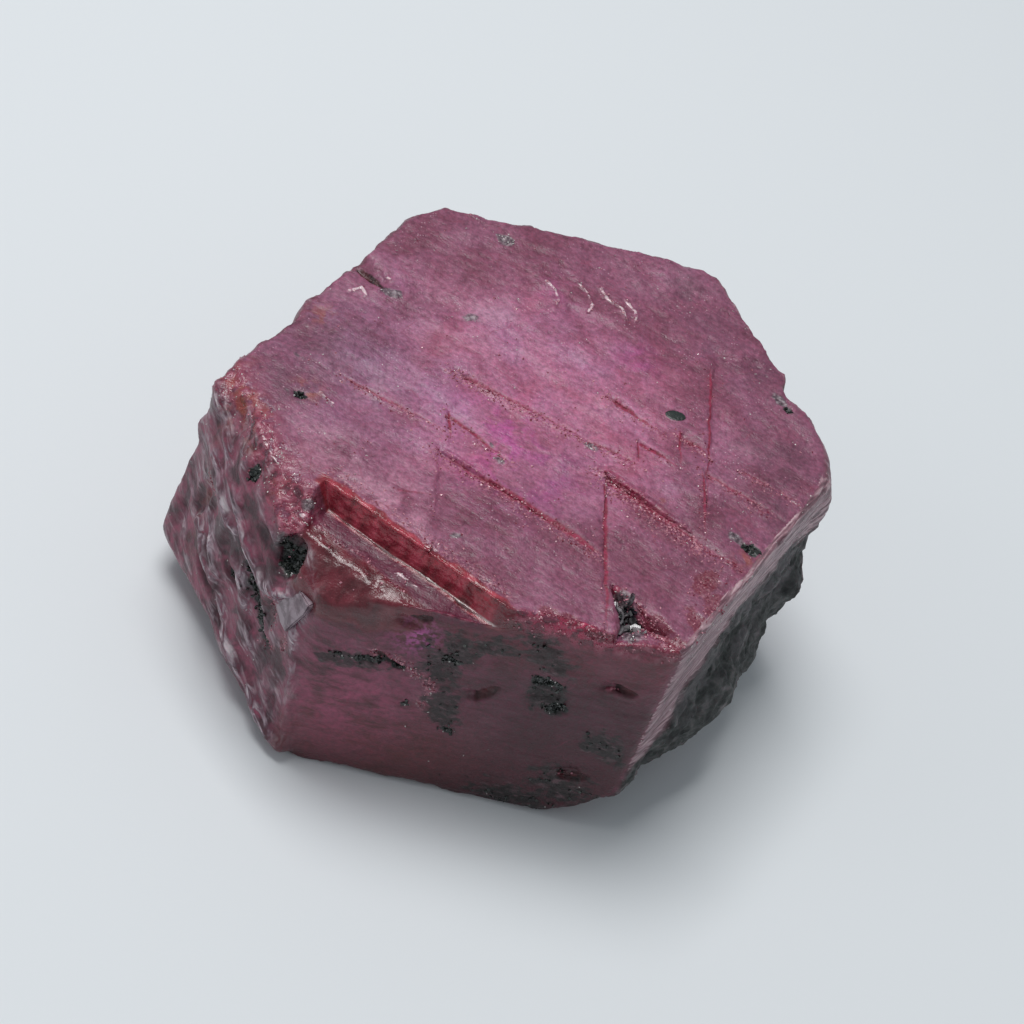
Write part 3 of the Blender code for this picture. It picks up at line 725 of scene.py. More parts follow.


# Painted sheen: the end face is painted paler in its middle, and painted shade darkens it towards its
# edges.
painted_sheen = np.exp(-(((x + 0.2) / 8.2) ** 4 + ((y - 1.0) / 6.5) ** 4) ** 0.5)
# Painted shade: darker clouds, most of them towards the right and the back of the end face.
painted_shade_clouds = clouds_at(
    (1.0, 10.8, -4.5, 2.4), (0.8, 9.5, -9.0, 1.8), (1.0, 13.5, 0.8, 2.8), (0.8, 13.5, -3.0, 1.4),
    (1.0, 11.5, 7.5, 2.6), (1.0, 8.5, 11.5, 2.0), (0.9, -12.5, -2.5, 1.8), (0.8, 2.0, -3.0, 1.8),
    (0.6, -7.5, -1.0, 2.0),
)
# Painted light: paler clouds on the left half of the end face.
painted_light_clouds = clouds_at(
    (1.0, -7.0, -8.3, 2.2), (0.8, -10.0, -5.5, 2.0), (0.7, -10.0, 0.3, 1.6), (0.6, -4.0, 5.0, 2.8),
)
# Painted sheen: a bluish tint on the left of the end face.
painted_cool_sheen = clouds_at((1.0, -9.5, 1.5, 4.2), (0.6, -7.5, -3.5, 2.2))
bloom = clouds_at(
    (1.0, -0.4, -4.1, 3.0), (0.8, 5.6, 5.7, 1.2), (0.5, 0.5, 9.0, 1.5), (0.6, -1.6, -1.2, 2.2),
)
front_bloom = np.exp(-(((x + 4.2) / 1.0) ** 2 + ((z + 3.4) / 1.1) ** 2)) * front_side
pale = 0.85 * ridge_crest + 0.55 * rise(0.3, 0.8, left_fibres)
pale = left_or_edge * np.clip(pale, 0.0, 1.0)
break_end = np.exp(-(((points - np.array((-10.5, -7.9, -0.7))) ** 2).sum(axis=1)) / 1.3**2)
pale *= 1.0 - break_end
pale += 0.3 * flake
pale += 0.5 * far_side * rise(0.35, 0.8, far_crests)
pale *= 1.0 - 0.9 * hollow
rock += 0.85 * far_side * rise(0.05, 0.35, far_patches) * rise(0.65, 0.1, far_crests)
orange = crust * rise(0.0, 0.6, grain(1.3, 111))
orange += clouds_at(
    (0.9, -11.6, -2.0, 0.7), (0.6, -11.4, 3.6, 0.8), (0.7, 11.4, -6.7, 0.55),
    (0.5, 7.2, -3.9, 0.5), (0.7, -14.4, -3.4, 0.8),
)
crumb = line_crumb + 0.5 * ledge_edge + 0.6 * second_line + 0.5 * wall_top + 0.8 * masks["stain"]
keep_masks({
    "painted_shade_clouds": painted_shade_clouds * end_face,
    "painted_light_clouds": painted_light_clouds * end_face,
    "painted_cool_sheen": painted_cool_sheen * end_face,
    "end_face": end_face,
    "painted_sheen": painted_sheen,
    "hairline": line_red,
    "crumb": crumb + vein,
    "red_glass": red_glass,
    "ledge": ledge,
    "crease_highlight": crease_highlight,
    "wall": wall,
    "slope": slope_below + wall_end,
    "pit": masks["red"],
    "left": left_side,
    "strip": strip,
    "stain": masks["stain"],
    "glow": front_glow,
    "glint": curved_glints,
    "black": np.maximum(masks["black"], 0.85 * groove),
    "glossy_black": masks["glossy"],
    "murk": masks["murk"],
    "grey": masks["grey"],
    "host_rock": rock,
    "pale_fibre": pale,
    "hollow": rise(0.1, 0.6, hollow),
    "crust": (crust + front_rubble) * (1.0 - slope_below),
    "rubble": front_edge * bell(x - 2.9, 2.2),
    "iron": orange,
    "bloom": bloom * end_face + front_bloom,
    "front": front_side,
})


def put(name, data):
    """A new object in the scene."""
    made = bpy.data.objects.new(name, data)
    bpy.context.scene.collection.objects.link(made)
    return made


def as_ruby(piece):
    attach(piece, "root")
    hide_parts("ruby_crystal")


crystal = put("crystal", skin)

# --------------------
# The ruby's finish: silky and half see-through magenta on the end face, duller plum and brown
# red on the sides, glassy blood red where it broke, with grey mica and dark rock on it.


def fill(node, inputs):
    """Sets or links the inputs of a node."""
    for key, value in inputs.items():
        value = value.socket if isinstance(value, Value) else value
        if isinstance(value, bpy.types.NodeSocket):
            node.id_data.links.new(value, node.inputs[key])
        else:
            node.inputs[key].default_value = value


def add(tree, kind, inputs, **settings):
    """A new node with its settings, and its inputs set or linked."""
    made = tree.nodes.new(kind)
    for name, value in settings.items():
        setattr(made, name, value)
    fill(made, inputs)
    return made


def out_of(tree, kind, inputs, output=0, **settings):
    return Value(add(tree, kind, inputs, **settings).outputs[output])


class Value:
    """What a node gives. Sums, steps and mixes of it are further nodes in the same tree."""

    def __init__(self, socket):
        self.socket = socket

    def into(self, kind, inputs, output=0, **settings):
        return out_of(self.socket.id_data, kind, inputs, output, **settings)

    def maths(self, operation, other, clamp=False):
        inputs = {0: self, 1: other}
        return self.into("ShaderNodeMath", inputs, operation=operation, use_clamp=clamp)

    def __add__(self, other):
        return self.maths("ADD", other)

    def __sub__(self, other):
        return self.maths("SUBTRACT", other)

    def __mul__(self, other):
        return self.maths("MULTIPLY", other)

    def __neg__(self):
        return self.maths("MULTIPLY", -1.0)

    def under(self, amount, over, blend="MIX"):
        """This colour with another laid over it, as much as the amount says."""
        over = over if isinstance(over, Value) else (*over, 1.0)
        inputs = {0: amount, 6: self, 7: over}
        return self.into("ShaderNodeMix", inputs, 2, data_type="RGBA", blend_type=blend)

    def tinted(self, colour):
        return self.under(1.0, colour, "MULTIPLY")

    def step(self, low, high):
        """0 up to the low value and 1 from the high one, with a smooth rise between."""
        inputs = {0: self, 1: low, 2: high}
        return self.into("ShaderNodeMapRange", inputs, interpolation_type="SMOOTHSTEP")

    def ramp(self, *stops):
        """A colour ramp, each stop given as its position and its red, green and blue."""
        made = add(self.socket.id_data, "ShaderNodeValToRGB", {0: self})
        elements = made.color_ramp.elements
        while len(elements) < len(stops):
            elements.new(0.5)
        for element, (position, *colour) in zip(elements, stops):
            element.position = position
            element.color = (*colour, 1.0)
        return Value(made.outputs[0])

    def cloud(self, size, detail=3.0, distortion=0.0, output=0):
        """Random value between 0 and 1 at this place, with lumps of a size in millimetres."""
        inputs = {"Vector": self, "Scale": 1.0 / size, "Detail": detail, "Distortion": distortion}
        return self.into("ShaderNodeTexNoise", inputs, output)

    def split(self, part, kind="XYZ"):
        return self.into("ShaderNodeSeparate" + kind, {0: self}, part)

    def specks(self, size, cover):
        """The speckle group at this place."""
        inputs = {"Place": self, "Size": size, "Cover": cover}
        return self.into("ShaderNodeGroup", inputs, node_tree=specks_group)


def new_group(name, kind, inputs, output, output_kind):
    """A node group with its inputs and its one output, and what comes in through the inputs."""
    tree = bpy.data.node_groups.new(name, kind)
    for label, socket_kind in inputs.items():
        tree.interface.new_socket(label, in_out="INPUT", socket_type="NodeSocket" + socket_kind)
    tree.interface.new_socket(output, in_out="OUTPUT", socket_type="NodeSocket" + output_kind)
    given = add(tree, "NodeGroupInput", {}).outputs
    return tree, {label: Value(given[label]) for label in inputs}


def speckle_group():
    """Scattered specks: a mask of them, from their size and how much of the surface they take."""
    inputs = {"Place": "Vector", "Size": "Float", "Cover": "Float"}
    tree, given = new_group("specks", "ShaderNodeTree", inputs, "Mask", "Float")
    per_size = out_of(tree, "ShaderNodeMath", {0: 1.0, 1: given["Size"]}, operation="DIVIDE")
    spots = add(tree, "ShaderNodeTexVoronoi", {"Vector": given["Place"], "Scale": per_size})
    which = Value(spots.outputs["Color"]).split(0, "Color")
    chosen = which.maths("LESS_THAN", given["Cover"])
    round_spot = Value(spots.outputs["Distance"]).step(0.42, 0.12)
    add(tree, "NodeGroupOutput", {"Mask": chosen * round_spot})
    return tree


specks_group = speckle_group()


def in_millimetres(tree, stretch=(1.0, 1.0, 1.0), turn=(0.0, 0.0, 0.0)):
    place = out_of(tree, "ShaderNodeTexCoord", {}, "Object")
    scale = [1.0 / (MM * part) for part in stretch]
    turned = place.into("ShaderNodeMapping", {"Vector": place, "Rotation": turn})
    return turned.into("ShaderNodeMapping", {"Vector": turned, "Scale": scale})


def pushed_about(place, size, reach):
    """The same place, moved about at random so that straight patterns look grown."""
    kind = "ShaderNodeVectorMath"
    swirl = place.cloud(size, 2.0, 0.0, 1)
    centred = place.into(kind, {0: swirl, 1: (0.5, 0.5, 0.5)}, operation="SUBTRACT")
    reaches = (reach, reach, reach)
    return place.into(kind, {0: centred, 1: reaches, 2: place}, operation="MULTIPLY_ADD")


def new_material(name):
    material = bpy.data.materials.new(name)
    material.use_nodes = True
    return material, material.node_tree, material.node_tree.nodes["Principled BSDF"]


def ruby_finish():
    material, tree, shader = new_material("raw_ruby")

    def mask(name):
        return out_of(tree, "ShaderNodeAttribute", {}, "Fac", attribute_name=name)

    place = in_millimetres(tree)
    grown = pushed_about(place, 2.5, 1.6)
    broad = place.cloud(5.0, 4.0, 0.9)
    medium = grown.cloud(1.4, 4.0, 0.6)
    fine = place.cloud(0.24, 3.0)
    growth_turn = (0.0, 0.0, math.radians(27.0))
    streaks = in_millimetres(tree, (3.4, 0.55, 1.0), growth_turn).cloud(0.8, 3.0, 0.3)
    plates = {"Vector": grown, "Scale": 0.45}
    plate_tone = place.into("ShaderNodeTexVoronoi", plates, "Color").split(0, "Color")

    # End face: silky mauve with magenta and wine clouds, palest in the middle under a painted sheen, with
    # painted shade towards its edges, its right and its back.
    tone = broad * 0.42 + medium * 0.26 + streaks * 0.22 + plate_tone * 0.1
    silk = tone.ramp(
        (0.36, 0.245, 0.054, 0.11), (0.44, 0.31, 0.082, 0.155), (0.5, 0.355, 0.108, 0.198),
        (0.56, 0.395, 0.133, 0.235), (0.64, 0.44, 0.19, 0.285),
    )
    bloom_amount = mask("bloom") * medium.step(0.4, 0.6)
    silk = silk.under(bloom_amount * 0.8, (0.4, 0.065, 0.24))
    # A darker copy of the silk: painted shade for the edges of the end face.
    shaded_silk = silk.tinted((0.62, 0.59, 0.59))
    hue = place.cloud(3.6, 2.0, 0.5)
    silk = silk.under(hue.step(0.5, 0.66), silk.tinted((0.95, 1.02, 1.06)))
    silk = silk.under(hue.step(0.48, 0.34), silk.tinted((1.02, 0.92, 0.9)))
    sheen_edge = mask("painted_sheen") + (broad - 0.5) * 0.9
    silk = shaded_silk.under(sheen_edge.step(0.0, 0.75), silk)
    # Painted shade in the darker clouds, painted light in the paler ones and a painted bluish sheen on
    # the left.
    patchy = medium.step(0.34, 0.62)
    silk = silk.under(mask("painted_shade_clouds") * patchy, silk.tinted((0.6, 0.54, 0.58)))
    silk = silk.under(mask("painted_light_clouds") * (patchy * 0.8), (0.44, 0.19, 0.275))
    silk = silk.under(mask("painted_cool_sheen"), silk.tinted((0.83, 1.0, 1.02)))

    # Sides: dull plum, browner low on the front.
    side_streaks = in_millimetres(tree, (2.4, 2.4, 0.7)).cloud(0.7, 3.0, 1.0)
    side_tone = broad * 0.35 + medium * 0.3 + side_streaks * 0.35
    side = side_tone.ramp(
        (0.34, 0.045, 0.016, 0.022), (0.45, 0.11, 0.026, 0.042), (0.53, 0.17, 0.042, 0.075),
        (0.64, 0.22, 0.085, 0.12),
    )
    height_up = place.split(2)
    front = mask("front")
    side = side.under(front * height_up.step(8.5, 2.0) * 0.75, (0.12, 0.024, 0.026))
    side = side.under(front * height_up.step(3.0, 0.2) * 0.5, (0.045, 0.016, 0.016))
    right_front = front * place.split(0).step(-4.0, 3.0) * height_up.step(14.0, 9.0)
    side = side.under(right_front * 0.74, (0.05, 0.008, 0.017))
    side = side.under(front * height_up.step(10.0, 13.0) * 0.45, (0.135, 0.016, 0.026))
    glow = mask("glow") * side_tone.step(0.36, 0.56)
    side = side.under(glow * 0.95, (0.32, 0.066, 0.13))
    wine = medium.ramp((0.42, 0.04, 0.007, 0.015), (0.6, 0.27, 0.058, 0.105))
    side = side.under(mask("left") * 0.75, wine)
    side = side.under(mask("bloom") * fine.step(0.42, 0.6), (0.42, 0.1, 0.29))
    colour = side.under(mask("end_face"), silk)
    colour = colour.under(mask("ledge") * 0.9, (0.108, 0.018, 0.04))

    # Fine grain: darker and lighter flecks all over, and a few pale ones that are partly pale specks and
    # partly painted glints.
    shade = fine.ramp((0.28, 0.7, 0.68, 0.7), (0.5, 1.0, 1.0, 1.0), (0.72, 1.32, 1.3, 1.3))
    colour = colour.tinted(shade)
    clusters = place.cloud(1.8, 2.0).step(0.46, 0.66)
    pale_flecks_and_glints = place.specks(0.14, 0.16) * (clusters * (mask("end_face") * 0.45))
    colour = colour.under(pale_flecks_and_glints, (0.76, 0.52, 0.6))

    # Healed cracks and veins where the light sinks into the ruby.
    crack_edge = place.into("ShaderNodeTexVoronoi", plates, "Distance", feature="DISTANCE_TO_EDGE")
    crack = crack_edge.step(0.03, 0.0) * place.cloud(3.0, 2.0).step(0.55, 0.68)
    colour = colour.under(crack * 0.35, (0.25, 0.03, 0.075))

    # Hairlines and their crumbly borders.
    crust_noise = place.cloud(0.45, 3.0, 0.4)
    crust_colour = crust_noise.ramp(
        (0.34, 0.09, 0.01, 0.018), (0.47, 0.24, 0.032, 0.062), (0.58, 0.36, 0.09, 0.14),
        (0.72, 0.5, 0.24, 0.29),
    )
    crust = mask("crust")
    colour = colour.under(crust * crust_noise.step(0.36, 0.5) * 0.8, crust_colour)
    colour = colour.under(mask("rubble") * crust_noise.step(0.44, 0.56), (0.42, 0.03, 0.09))
    hairline = mask("hairline")
    line_colour = fine.ramp((0.35, 0.165, 0.008, 0.026), (0.65, 0.33, 0.026, 0.078))
    colour = colour.under(hairline.step(0.12, 0.8), line_colour)
    crumb = mask("crumb")
    crumb_light = place.cloud(0.15, 2.0).step(0.5, 0.64)
    colour = colour.under(crumb * crumb_light, (0.54, 0.24, 0.29))
    crumb_dark = place.cloud(0.2, 2.0).step(0.48, 0.36)
    colour = colour.under(crumb * crumb_dark, (0.2, 0.018, 0.04))

    # Clear red glass in the break, the pits and the hollows.
    glass = mask("red_glass")
    glass_colour = crust_noise.ramp(
        (0.34, 0.105, 0.007, 0.012), (0.52, 0.19, 0.014, 0.022), (0.66, 0.27, 0.032, 0.048),
        (0.8, 0.4, 0.12, 0.16),
    )
    colour = colour.under(glass, glass_colour)
    wall_streaks = in_millimetres(tree, (0.8, 0.8, 1.6)).cloud(0.9, 3.0, 0.3)
    wall_colour = wall_streaks.ramp(
        (0.34, 0.14, 0.01, 0.016), (0.5, 0.31, 0.026, 0.044), (0.66, 0.47, 0.056, 0.09),
    )
    colour = colour.under(mask("wall"), wall_colour)
    slope_colour = wall_streaks.ramp((0.36, 0.075, 0.006, 0.011), (0.66, 0.15, 0.014, 0.026))
    colour = colour.under(mask("slope"), slope_colour)
    pit_colour = wall_streaks.ramp((0.38, 0.02, 0.002, 0.004), (0.66, 0.09, 0.007, 0.014))
    colour = colour.under(mask("pit").step(0.1, 0.6), pit_colour)
    stain = mask("stain")
    stain_here = (stain + (crust_noise - 0.5)).step(0.25, 0.55) * stain.step(0.0, 0.15)
    colour = colour.under(stain_here * 0.6, (0.15, 0.012, 0.026))
    hollow_colour = crust_noise.ramp((0.4, 0.022, 0.007, 0.012), (0.62, 0.095, 0.014, 0.03))
    colour = colour.under(mask("hollow") * 0.85, hollow_colour)

    # Pale mica fibres on the left and right sides.
    left_turn = Matrix.Rotation(math.atan2(-LEFT_RUN[1], LEFT_RUN[0]), 3, "Z")
    ridge_turn = Matrix.Rotation(-FIBRE_SLOPE, 3, "Y") @ left_turn
    fibre_noise = in_millimetres(tree, (1.9, 0.6, 0.6), ridge_turn.to_euler()).cloud(0.6, 3.0, 1.1)
    upright_noise = in_millimetres(tree, (0.6, 0.6, 2.0)).cloud(0.6, 3.0, 1.0)
    by_side = {0: mask("left").step(0.3, 0.7), 2: upright_noise, 3: fibre_noise}
    fibre_noise = place.into("ShaderNodeMix", by_side, data_type="FLOAT")
    fibre_colour = fibre_noise.ramp(
        (0.36, 0.06, 0.03, 0.042), (0.48, 0.18, 0.118, 0.15), (0.58, 0.37, 0.282, 0.322),
        (0.7, 0.64, 0.56, 0.59),
    )
    pale = mask("pale_fibre")
    fibre_patches = place.cloud(1.1, 3.0, 0.4).step(0.4, 0.54) * 0.65 + 0.35
    colour = colour.under(pale * fibre_noise.step(0.34, 0.52) * fibre_patches, fibre_colour)

    strip = mask("strip")
    strip_noise = in_millimetres(tree, (3.2, 0.42, 0.42), (0.0, 0.0, -RIM_RUN)).cloud(0.6, 3.0, 0.7)
    strip_colour = strip_noise.ramp(
        (0.36, 0.11, 0.05, 0.066), (0.5, 0.275, 0.14, 0.172), (0.64, 0.52, 0.345, 0.38),
    )
    strip_edge = (strip + (strip_noise - 0.5) * 2.4).step(0.3, 0.7)
    colour = colour.under(strip_edge * strip.step(0.0, 0.25), strip_colour)
    iron = mask("iron") * place.cloud(0.6, 2.0).step(0.44, 0.6)
    colour = colour.under(iron * 0.75, (0.33, 0.075, 0.028))
    grey = mask("grey")
    grey_grain = fine.ramp(
        (0.36, 0.02, 0.02, 0.024), (0.52, 0.12, 0.1, 0.112), (0.66, 0.33, 0.3, 0.31),
    )
    grey_here = (grey + (crust_noise - 0.5) * 2.0).step(0.3, 0.75) * grey
    colour = colour.under(grey_here * 0.8, grey_grain)

    # Dark host rock and hornblende.
    rock = mask("host_rock")
    rock_colour = place.cloud(0.8, 4.0, 0.4).ramp(
        (0.36, 0.008, 0.01, 0.01), (0.5, 0.026, 0.03, 0.028), (0.6, 0.066, 0.068, 0.066),
        (0.72, 0.15, 0.13, 0.138),
    )
    rock_pale = height_up.step(5.0, 9.5) * place.cloud(1.3, 3.0, 0.6).step(0.4, 0.6)
    rock_colour = rock_colour.under(rock_pale * 0.75, (0.135, 0.122, 0.13))
    colour = colour.under(rock, rock_colour)
    murk = mask("murk")
    murk_noise = side_streaks * 0.6 + crust_noise * 0.6
    murk_here = (murk + (murk_noise - 0.6) * 3.2).step(0.15, 0.75) * murk.step(0.05, 0.3)
    murk_colour = in_millimetres(tree, (1.6, 1.6, 0.8)).cloud(0.32, 2.0, 0.5).ramp(
        (0.38, 0.003, 0.005, 0.004), (0.52, 0.013, 0.014, 0.012), (0.6, 0.04, 0.026, 0.028),
        (0.7, 0.11, 0.06, 0.07),
    )
    colour = colour.under(murk_here * 0.84, murk_colour)
    black = mask("black")
    ragged_black = (place.cloud(0.3, 2.0) - 0.5) * 2.4
    black_colour = fine.ramp(
        (0.38, 0.004, 0.006, 0.006), (0.55, 0.016, 0.022, 0.02), (0.68, 0.09, 0.095, 0.085),
    )
    colour = colour.under((black + ragged_black * black).step(0.25, 0.7), black_colour)
    glossy_black = mask("glossy_black")
    colour = colour.under(glossy_black.step(0.2, 0.6), (0.005, 0.012, 0.009))
    # Painted highlight: a pale line along the crease of the break.
    crease_highlight = mask("crease_highlight")
    colour = colour.under(crease_highlight, (0.9, 0.76, 0.74))
    # Painted highlights: pale broken lines along the curved ridges.
    glint = mask("glint").step(0.35, 0.75) * place.cloud(0.35, 2.0).step(0.42, 0.54)
    colour = colour.under(glint * 0.75, (0.8, 0.62, 0.65))

    # Satin all over, wet and glassy where it is crusted or broken, dull on rock.
    rough = fine.into("ShaderNodeMapRange", {0: fine, 1: 0.3, 2: 0.7, 3: 0.34, 4: 0.56})
    rough = rough + rock * 0.25 + hairline * 0.35
    wet = glass * 0.1 + crust * 0.2 + crumb * 0.18 + crease_highlight * 0.25 + glint * 0.2
    coat = (glass * 0.25 + crease_highlight).maths("ADD", glossy_black * 0.1, True)

    height = fine * 0.4 + medium * 0.6 + streaks * 0.55 + place.cloud(0.1, 1.0) * 0.22
    height = height + fibre_noise * pale * 0.9 + strip_noise * strip * 1.2
    rough_parts = crust + rock + murk * 0.35 + front * 0.15
    height = height + crust_noise * rough_parts * 2.2
    bump = {"Height": height, "Distance": 0.1 * MM, "Strength": 0.9}
    fill(shader, {
        "Base Color": colour,
        "Roughness": (rough - wet).maths("MAXIMUM", 0.12),
        "Coat Weight": coat,
        "Coat Roughness": 0.08,
        "Normal": place.into("ShaderNodeBump", bump),
        "Subsurface Weight": 0.15,
        "Subsurface Radius": (1.0, 0.22, 0.35),
        "Subsurface Scale": 0.8 * MM,
        "IOR": 1.6,
        "Specular IOR Level": 0.4,
    })
    return material


skin.materials.append(ruby_finish())

# --------------------
# Loose grains on the skin: crumbs of black hornblende, bright flakes of mica and crushed ruby.
# Each sits half sunk where its mineral crops out, and none is as wide as a pinhead.


def chip_group():
    """Scatters small chips where an attribute of the skin says, and gives them their finish."""
    inputs = {
        "Skin": "Geometry", "Where": "String", "Per area": "Float", "Smallest": "Vector",
        "Largest": "Vector", "Tilt": "Float", "Seed": "Int", "Finish": "Material",
    }
    tree, given = new_group("chips", "GeometryNodeTree", inputs, "Chips", "Geometry")

    def step(kind, output=0, data_type=None, **inputs):
        """A node whose inputs are named with low lines for spaces."""
        settings = {"data_type": data_type} if data_type else {}
        named = {key.replace("_", " "): value for key, value in inputs.items()}
        return out_of(tree, kind, named, output, **settings)

    seed = given["Seed"]
    tilt = given["Tilt"]
    where = step(
        "GeometryNodeInputNamedAttribute", "Attribute", data_type="FLOAT", Name=given["Where"]
    )
    density = where * given["Per area"]
    scatter = {"Mesh": given["Skin"], "Density": density, "Seed": seed}
    scattered = add(tree, "GeometryNodeDistributePointsOnFaces", scatter).outputs
    chip = step("GeometryNodeMeshCylinder", Vertices=6, Radius=1.0, Depth=2.0)
    low = step("ShaderNodeCombineXYZ", X=-tilt, Y=-tilt, Z=0.0)
    high = step("ShaderNodeCombineXYZ", X=tilt, Y=tilt, Z=2.0 * math.pi)
    turn = step("FunctionNodeRandomValue", data_type="FLOAT_VECTOR", Min=low, Max=high, Seed=seed)
    turn = step("FunctionNodeEulerToRotation", Euler=turn)
    turned = {"Rotation": scattered["Rotation"], "Rotate By": turn}
    turned = out_of(tree, "FunctionNodeRotateRotation", turned, rotation_space="LOCAL")
    size = step(
        "FunctionNodeRandomValue", data_type="FLOAT_VECTOR",
        Min=given["Smallest"], Max=given["Largest"], Seed=seed,
    )
    placed = step(
        "GeometryNodeInstanceOnPoints",
        Points=scattered["Points"], Instance=chip, Rotation=turned, Scale=size,
    )
    solid = step("GeometryNodeRealizeInstances", Geometry=placed)
    finished = step("GeometryNodeSetMaterial", Geometry=solid, Material=given["Finish"])
    add(tree, "NodeGroupOutput", {"Chips": finished})
    return tree


chips = chip_group()


def grain_piece(name, where, amount, smallest, largest, tilt, seed, finish):
    """One kind of grain as a plain mesh piece. The amount is chips per square millimetre."""
    host = put(name + "_host", skin)
    modifier = host.modifiers.new("chips", "NODES")
    modifier.node_group = chips
    wanted = {
        "Where": where,
        "Per area": amount / MM**2,
        "Smallest": [side * MM for side in smallest],
        "Largest": [side * MM for side in largest],
        "Tilt": tilt,
        "Seed": seed,
        "Finish": finish,
    }
    for socket in chips.interface.items_tree:
        if socket.in_out == "INPUT" and socket.name in wanted:
            modifier[socket.identifier] = wanted[socket.name]
    graph = bpy.context.evaluated_depsgraph_get()
    mesh = bpy.data.meshes.new_from_object(host.evaluated_get(graph), depsgraph=graph)
    mesh.name = name
    host.modifiers.remove(modifier)
    bpy.data.objects.remove(host)
    as_ruby(put(name, mesh))


def chip_finish(name, dark, light, roughness, grain_size):
    """A mineral whose grains vary between two colours."""
    material, tree, shader = new_material(name)
    place = in_millimetres(tree)
    shade = place.cloud(grain_size, 3.0).step(0.38, 0.62)
    colours = {0: shade, 6: (*dark, 1.0), 7: (*light, 1.0)}
    glint = place.specks(grain_size * 0.6, 0.3) * (0.6 * roughness)
    rough = {0: roughness, 1: glint}
    fill(shader, {
        "Base Color": shade.into("ShaderNodeMix", colours, 2, data_type="RGBA"),
        "Roughness": glint.into("ShaderNodeMath", rough, operation="SUBTRACT"),
        "IOR": 1.62,
    })
    return material


bare = 1.0 - np.clip(1.2 * wall + 0.9 * slope_below, 0.0, 1.0)
bare *= rise(-14.9, -14.5, z)
in_notch = spot((5.6, -11.9, -0.5), 0.75, 1.6, (0.35, -0.85, 0.0), 0.5 * ragged)
hornblende = np.maximum(masks["black"] ** 2, groove**2) + 0.07 * masks["murk"] ** 2
mica = 0.35 * masks["black"] ** 2 + 0.12 * crust + 0.05 * line_crumb + 0.03 * strip + 0.3 * groove**2
mica += 0.1 * ledge_edge + 0.002 * front_side + 0.005 * end_face + 0.006 * left_side
mica += 0.3 * curved_glints + 0.25 * masks["grey"] + 0.15 * vein
crushed = 0.9 * line_crumb + 0.4 * ledge_edge + 0.6 * second_line + 0.05 * crust + 0.2 * front_rubble
crushed += 0.2 * wall_top + 0.35 * masks["stain"] + 0.5 * vein
keep_masks({
    "hornblende_grains": hornblende,
    "mica_grains": mica * bare,
    "plate_grains": in_notch * bare,
    "ruby_grains": (crushed + 0.004 * end_face + 0.3 * curved_glints) * bare,
})
grain_piece(
    "hornblende_crumbs", "hornblende_grains", 40.0, (0.05, 0.03, 0.02), (0.14, 0.1, 0.08), 1.2, 3,
    chip_finish("hornblende", (0.003, 0.005, 0.005), (0.035, 0.042, 0.036), 0.26, 0.3),
)
grain_piece(
    "mica_flakes", "mica_grains", 26.0, (0.02, 0.015, 0.006), (0.075, 0.05, 0.02), 0.9, 5,
    chip_finish("mica", (0.42, 0.38, 0.37), (0.72, 0.69, 0.66), 0.2, 0.3),
)
grain_piece(
    "ruby_crumbs", "ruby_grains", 46.0, (0.022, 0.018, 0.014), (0.085, 0.065, 0.048), 1.2, 7,
    chip_finish("crushed_ruby", (0.21, 0.024, 0.052), (0.64, 0.29, 0.35), 0.26, 0.2),
)
grain_piece(
    "mica_plates", "plate_grains", 9.0, (0.12, 0.1, 0.02), (0.38, 0.3, 0.08), 1.2, 11,
    chip_finish("bright_mica", (0.008, 0.008, 0.012), (0.26, 0.24, 0.25), 0.1, 0.5),
)

# One plate of mica is far larger than the rest: it stands out of the corner between the left
# and the front side, with a straight lower edge, and its face rises to a low crown.
FLAKE_CORNERS = (
    (-11.03, -10.89, -5.79, -0.05), (-10.63, -11.37, -4.76, 0.02), (-10.08, -11.95, -3.42, 0.05),
    (-9.4, -12.59, -3.5, 0.22), (-9.44, -12.51, -4.24, 0.34), (-9.75, -12.19, -5.44, 0.34),
    (-10.05, -12.02, -6.45, 0.26), (-10.52, -11.5, -6.54, 0.05),
)
FLAKE_OUT = np.array((-0.71, -0.7, 0.0))
FLAKE_SUNK = 0.5
FLAKE_CROWN = 0.1
FLAKE_BEVEL = 0.07
BEVELLED_FOLD = 40.0
corners = np.array([corner[:3] for corner in FLAKE_CORNERS])
proud = np.array([corner[3] for corner in FLAKE_CORNERS])
face_ring = corners + proud[:, None] * FLAKE_OUT
crown = face_ring.mean(axis=0) + FLAKE_CROWN * FLAKE_OUT
back_ring = corners - FLAKE_SUNK * FLAKE_OUT
count = len(corners)
flake_points = np.concatenate([face_ring, back_ring, [crown]]) - AXIS
flake_faces = []
for number in range(count):
    following = (number + 1) % count
    flake_faces.append((2 * count, number, following))
    flake_faces.append((number, count + number, count + following, following))
flake_faces.append(tuple(range(2 * count - 1, count - 1, -1)))
flake_mesh = bpy.data.meshes.new("mica_flake")
flake_mesh.from_pydata((flake_points * MM).tolist(), [], flake_faces)
bm = bmesh.new()
bm.from_mesh(flake_mesh)
bmesh.ops.recalc_face_normals(bm, faces=bm.faces)
rim_edges = [e for e in bm.edges if e.calc_face_angle() > math.radians(BEVELLED_FOLD)]
bmesh.ops.bevel(
    bm, geom=rim_edges, offset=FLAKE_BEVEL * MM, segments=2, affect="EDGES", clamp_overlap=True
)
bm.to_mesh(flake_mesh)
bm.free()
flake_mesh.materials.append(
    chip_finish("mica_plate", (0.12, 0.07, 0.092), (0.29, 0.215, 0.25), 0.34, 0.5)
)
as_ruby(put("mica_flake", flake_mesh))
as_ruby(crystal)

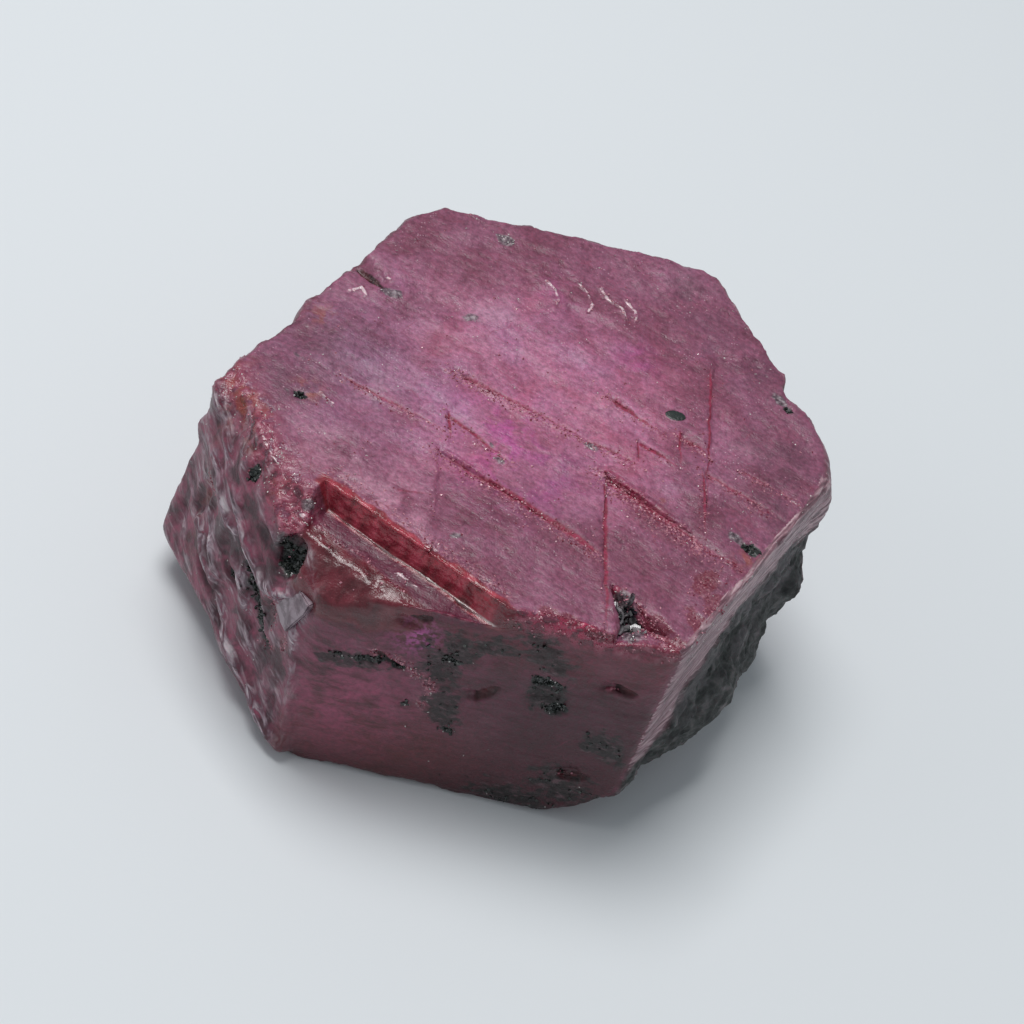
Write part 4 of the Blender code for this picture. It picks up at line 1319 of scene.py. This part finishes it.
# --------------------
# The ground and the light: a plain pale sheet under the crystal, a broad soft light overhead
# and a weaker one from the left.

GROUND_SIZE = 3000.0
half = GROUND_SIZE / 2 * MM
ground_corners = [(-half, -half, 0), (half, -half, 0), (half, half, 0), (-half, half, 0)]
ground_mesh = bpy.data.meshes.new("ground")
ground_mesh.from_pydata(ground_corners, [], [(0, 1, 2, 3)])
ground = put("ground", ground_mesh)
ground_material, _, ground_shader = new_material("pale_ground")
fill(ground_shader, {"Base Color": (0.74, 0.77, 0.79, 1.0), "Roughness": 0.7})
ground_mesh.materials.append(ground_material)

world = bpy.data.worlds.new("soft_sky")
world.use_nodes = True
fill(world.node_tree.nodes["Background"], {"Color": (0.88, 0.94, 1.0, 1.0), "Strength": 0.34})
bpy.context.scene.world = world


def soft_light(name, place, target, size, power):
    """A square soft light, in millimetres, turned to face the target."""
    lamp = bpy.data.lights.new(name, "AREA")
    lamp.size = size * MM
    lamp.energy = power
    made = put(name, lamp)
    made.location = Vector(place) * MM
    made.rotation_euler = (Vector(target) - Vector(place)).to_track_quat("-Z", "Y").to_euler()


soft_light("overhead", (-60.0, 60.0, 330.0), (0.0, 0.0, 0.0), 160.0, 0.78)
soft_light("from_left", (-320.0, -60.0, 180.0), (0.0, 0.0, 8.0), 180.0, 0.08)

# The camera looks down at the crystal from the front left.
LENS = 90.0
CAMERA_PLACE = Vector((-19.74, -92.63, 105.98))
CAMERA_RIGHT = Vector((0.9657, 0.0569, 0.2532))
CAMERA_FORWARD = Vector((0.1494, 0.6756, -0.722))
camera_up = CAMERA_RIGHT.cross(CAMERA_FORWARD).normalized()
camera_right = CAMERA_FORWARD.cross(camera_up).normalized()
turn = Matrix((camera_right, camera_up, -CAMERA_FORWARD.normalized())).transposed()
view = bpy.data.cameras.new("view")
view.lens = LENS
view.sensor_width = 36.0
view.clip_start = 0.001
camera = put("view", view)
camera.matrix_world = Matrix.Translation(CAMERA_PLACE * MM) @ turn.to_4x4()
bpy.context.scene.camera = camera
bpy.context.scene.view_settings.view_transform = "Standard"
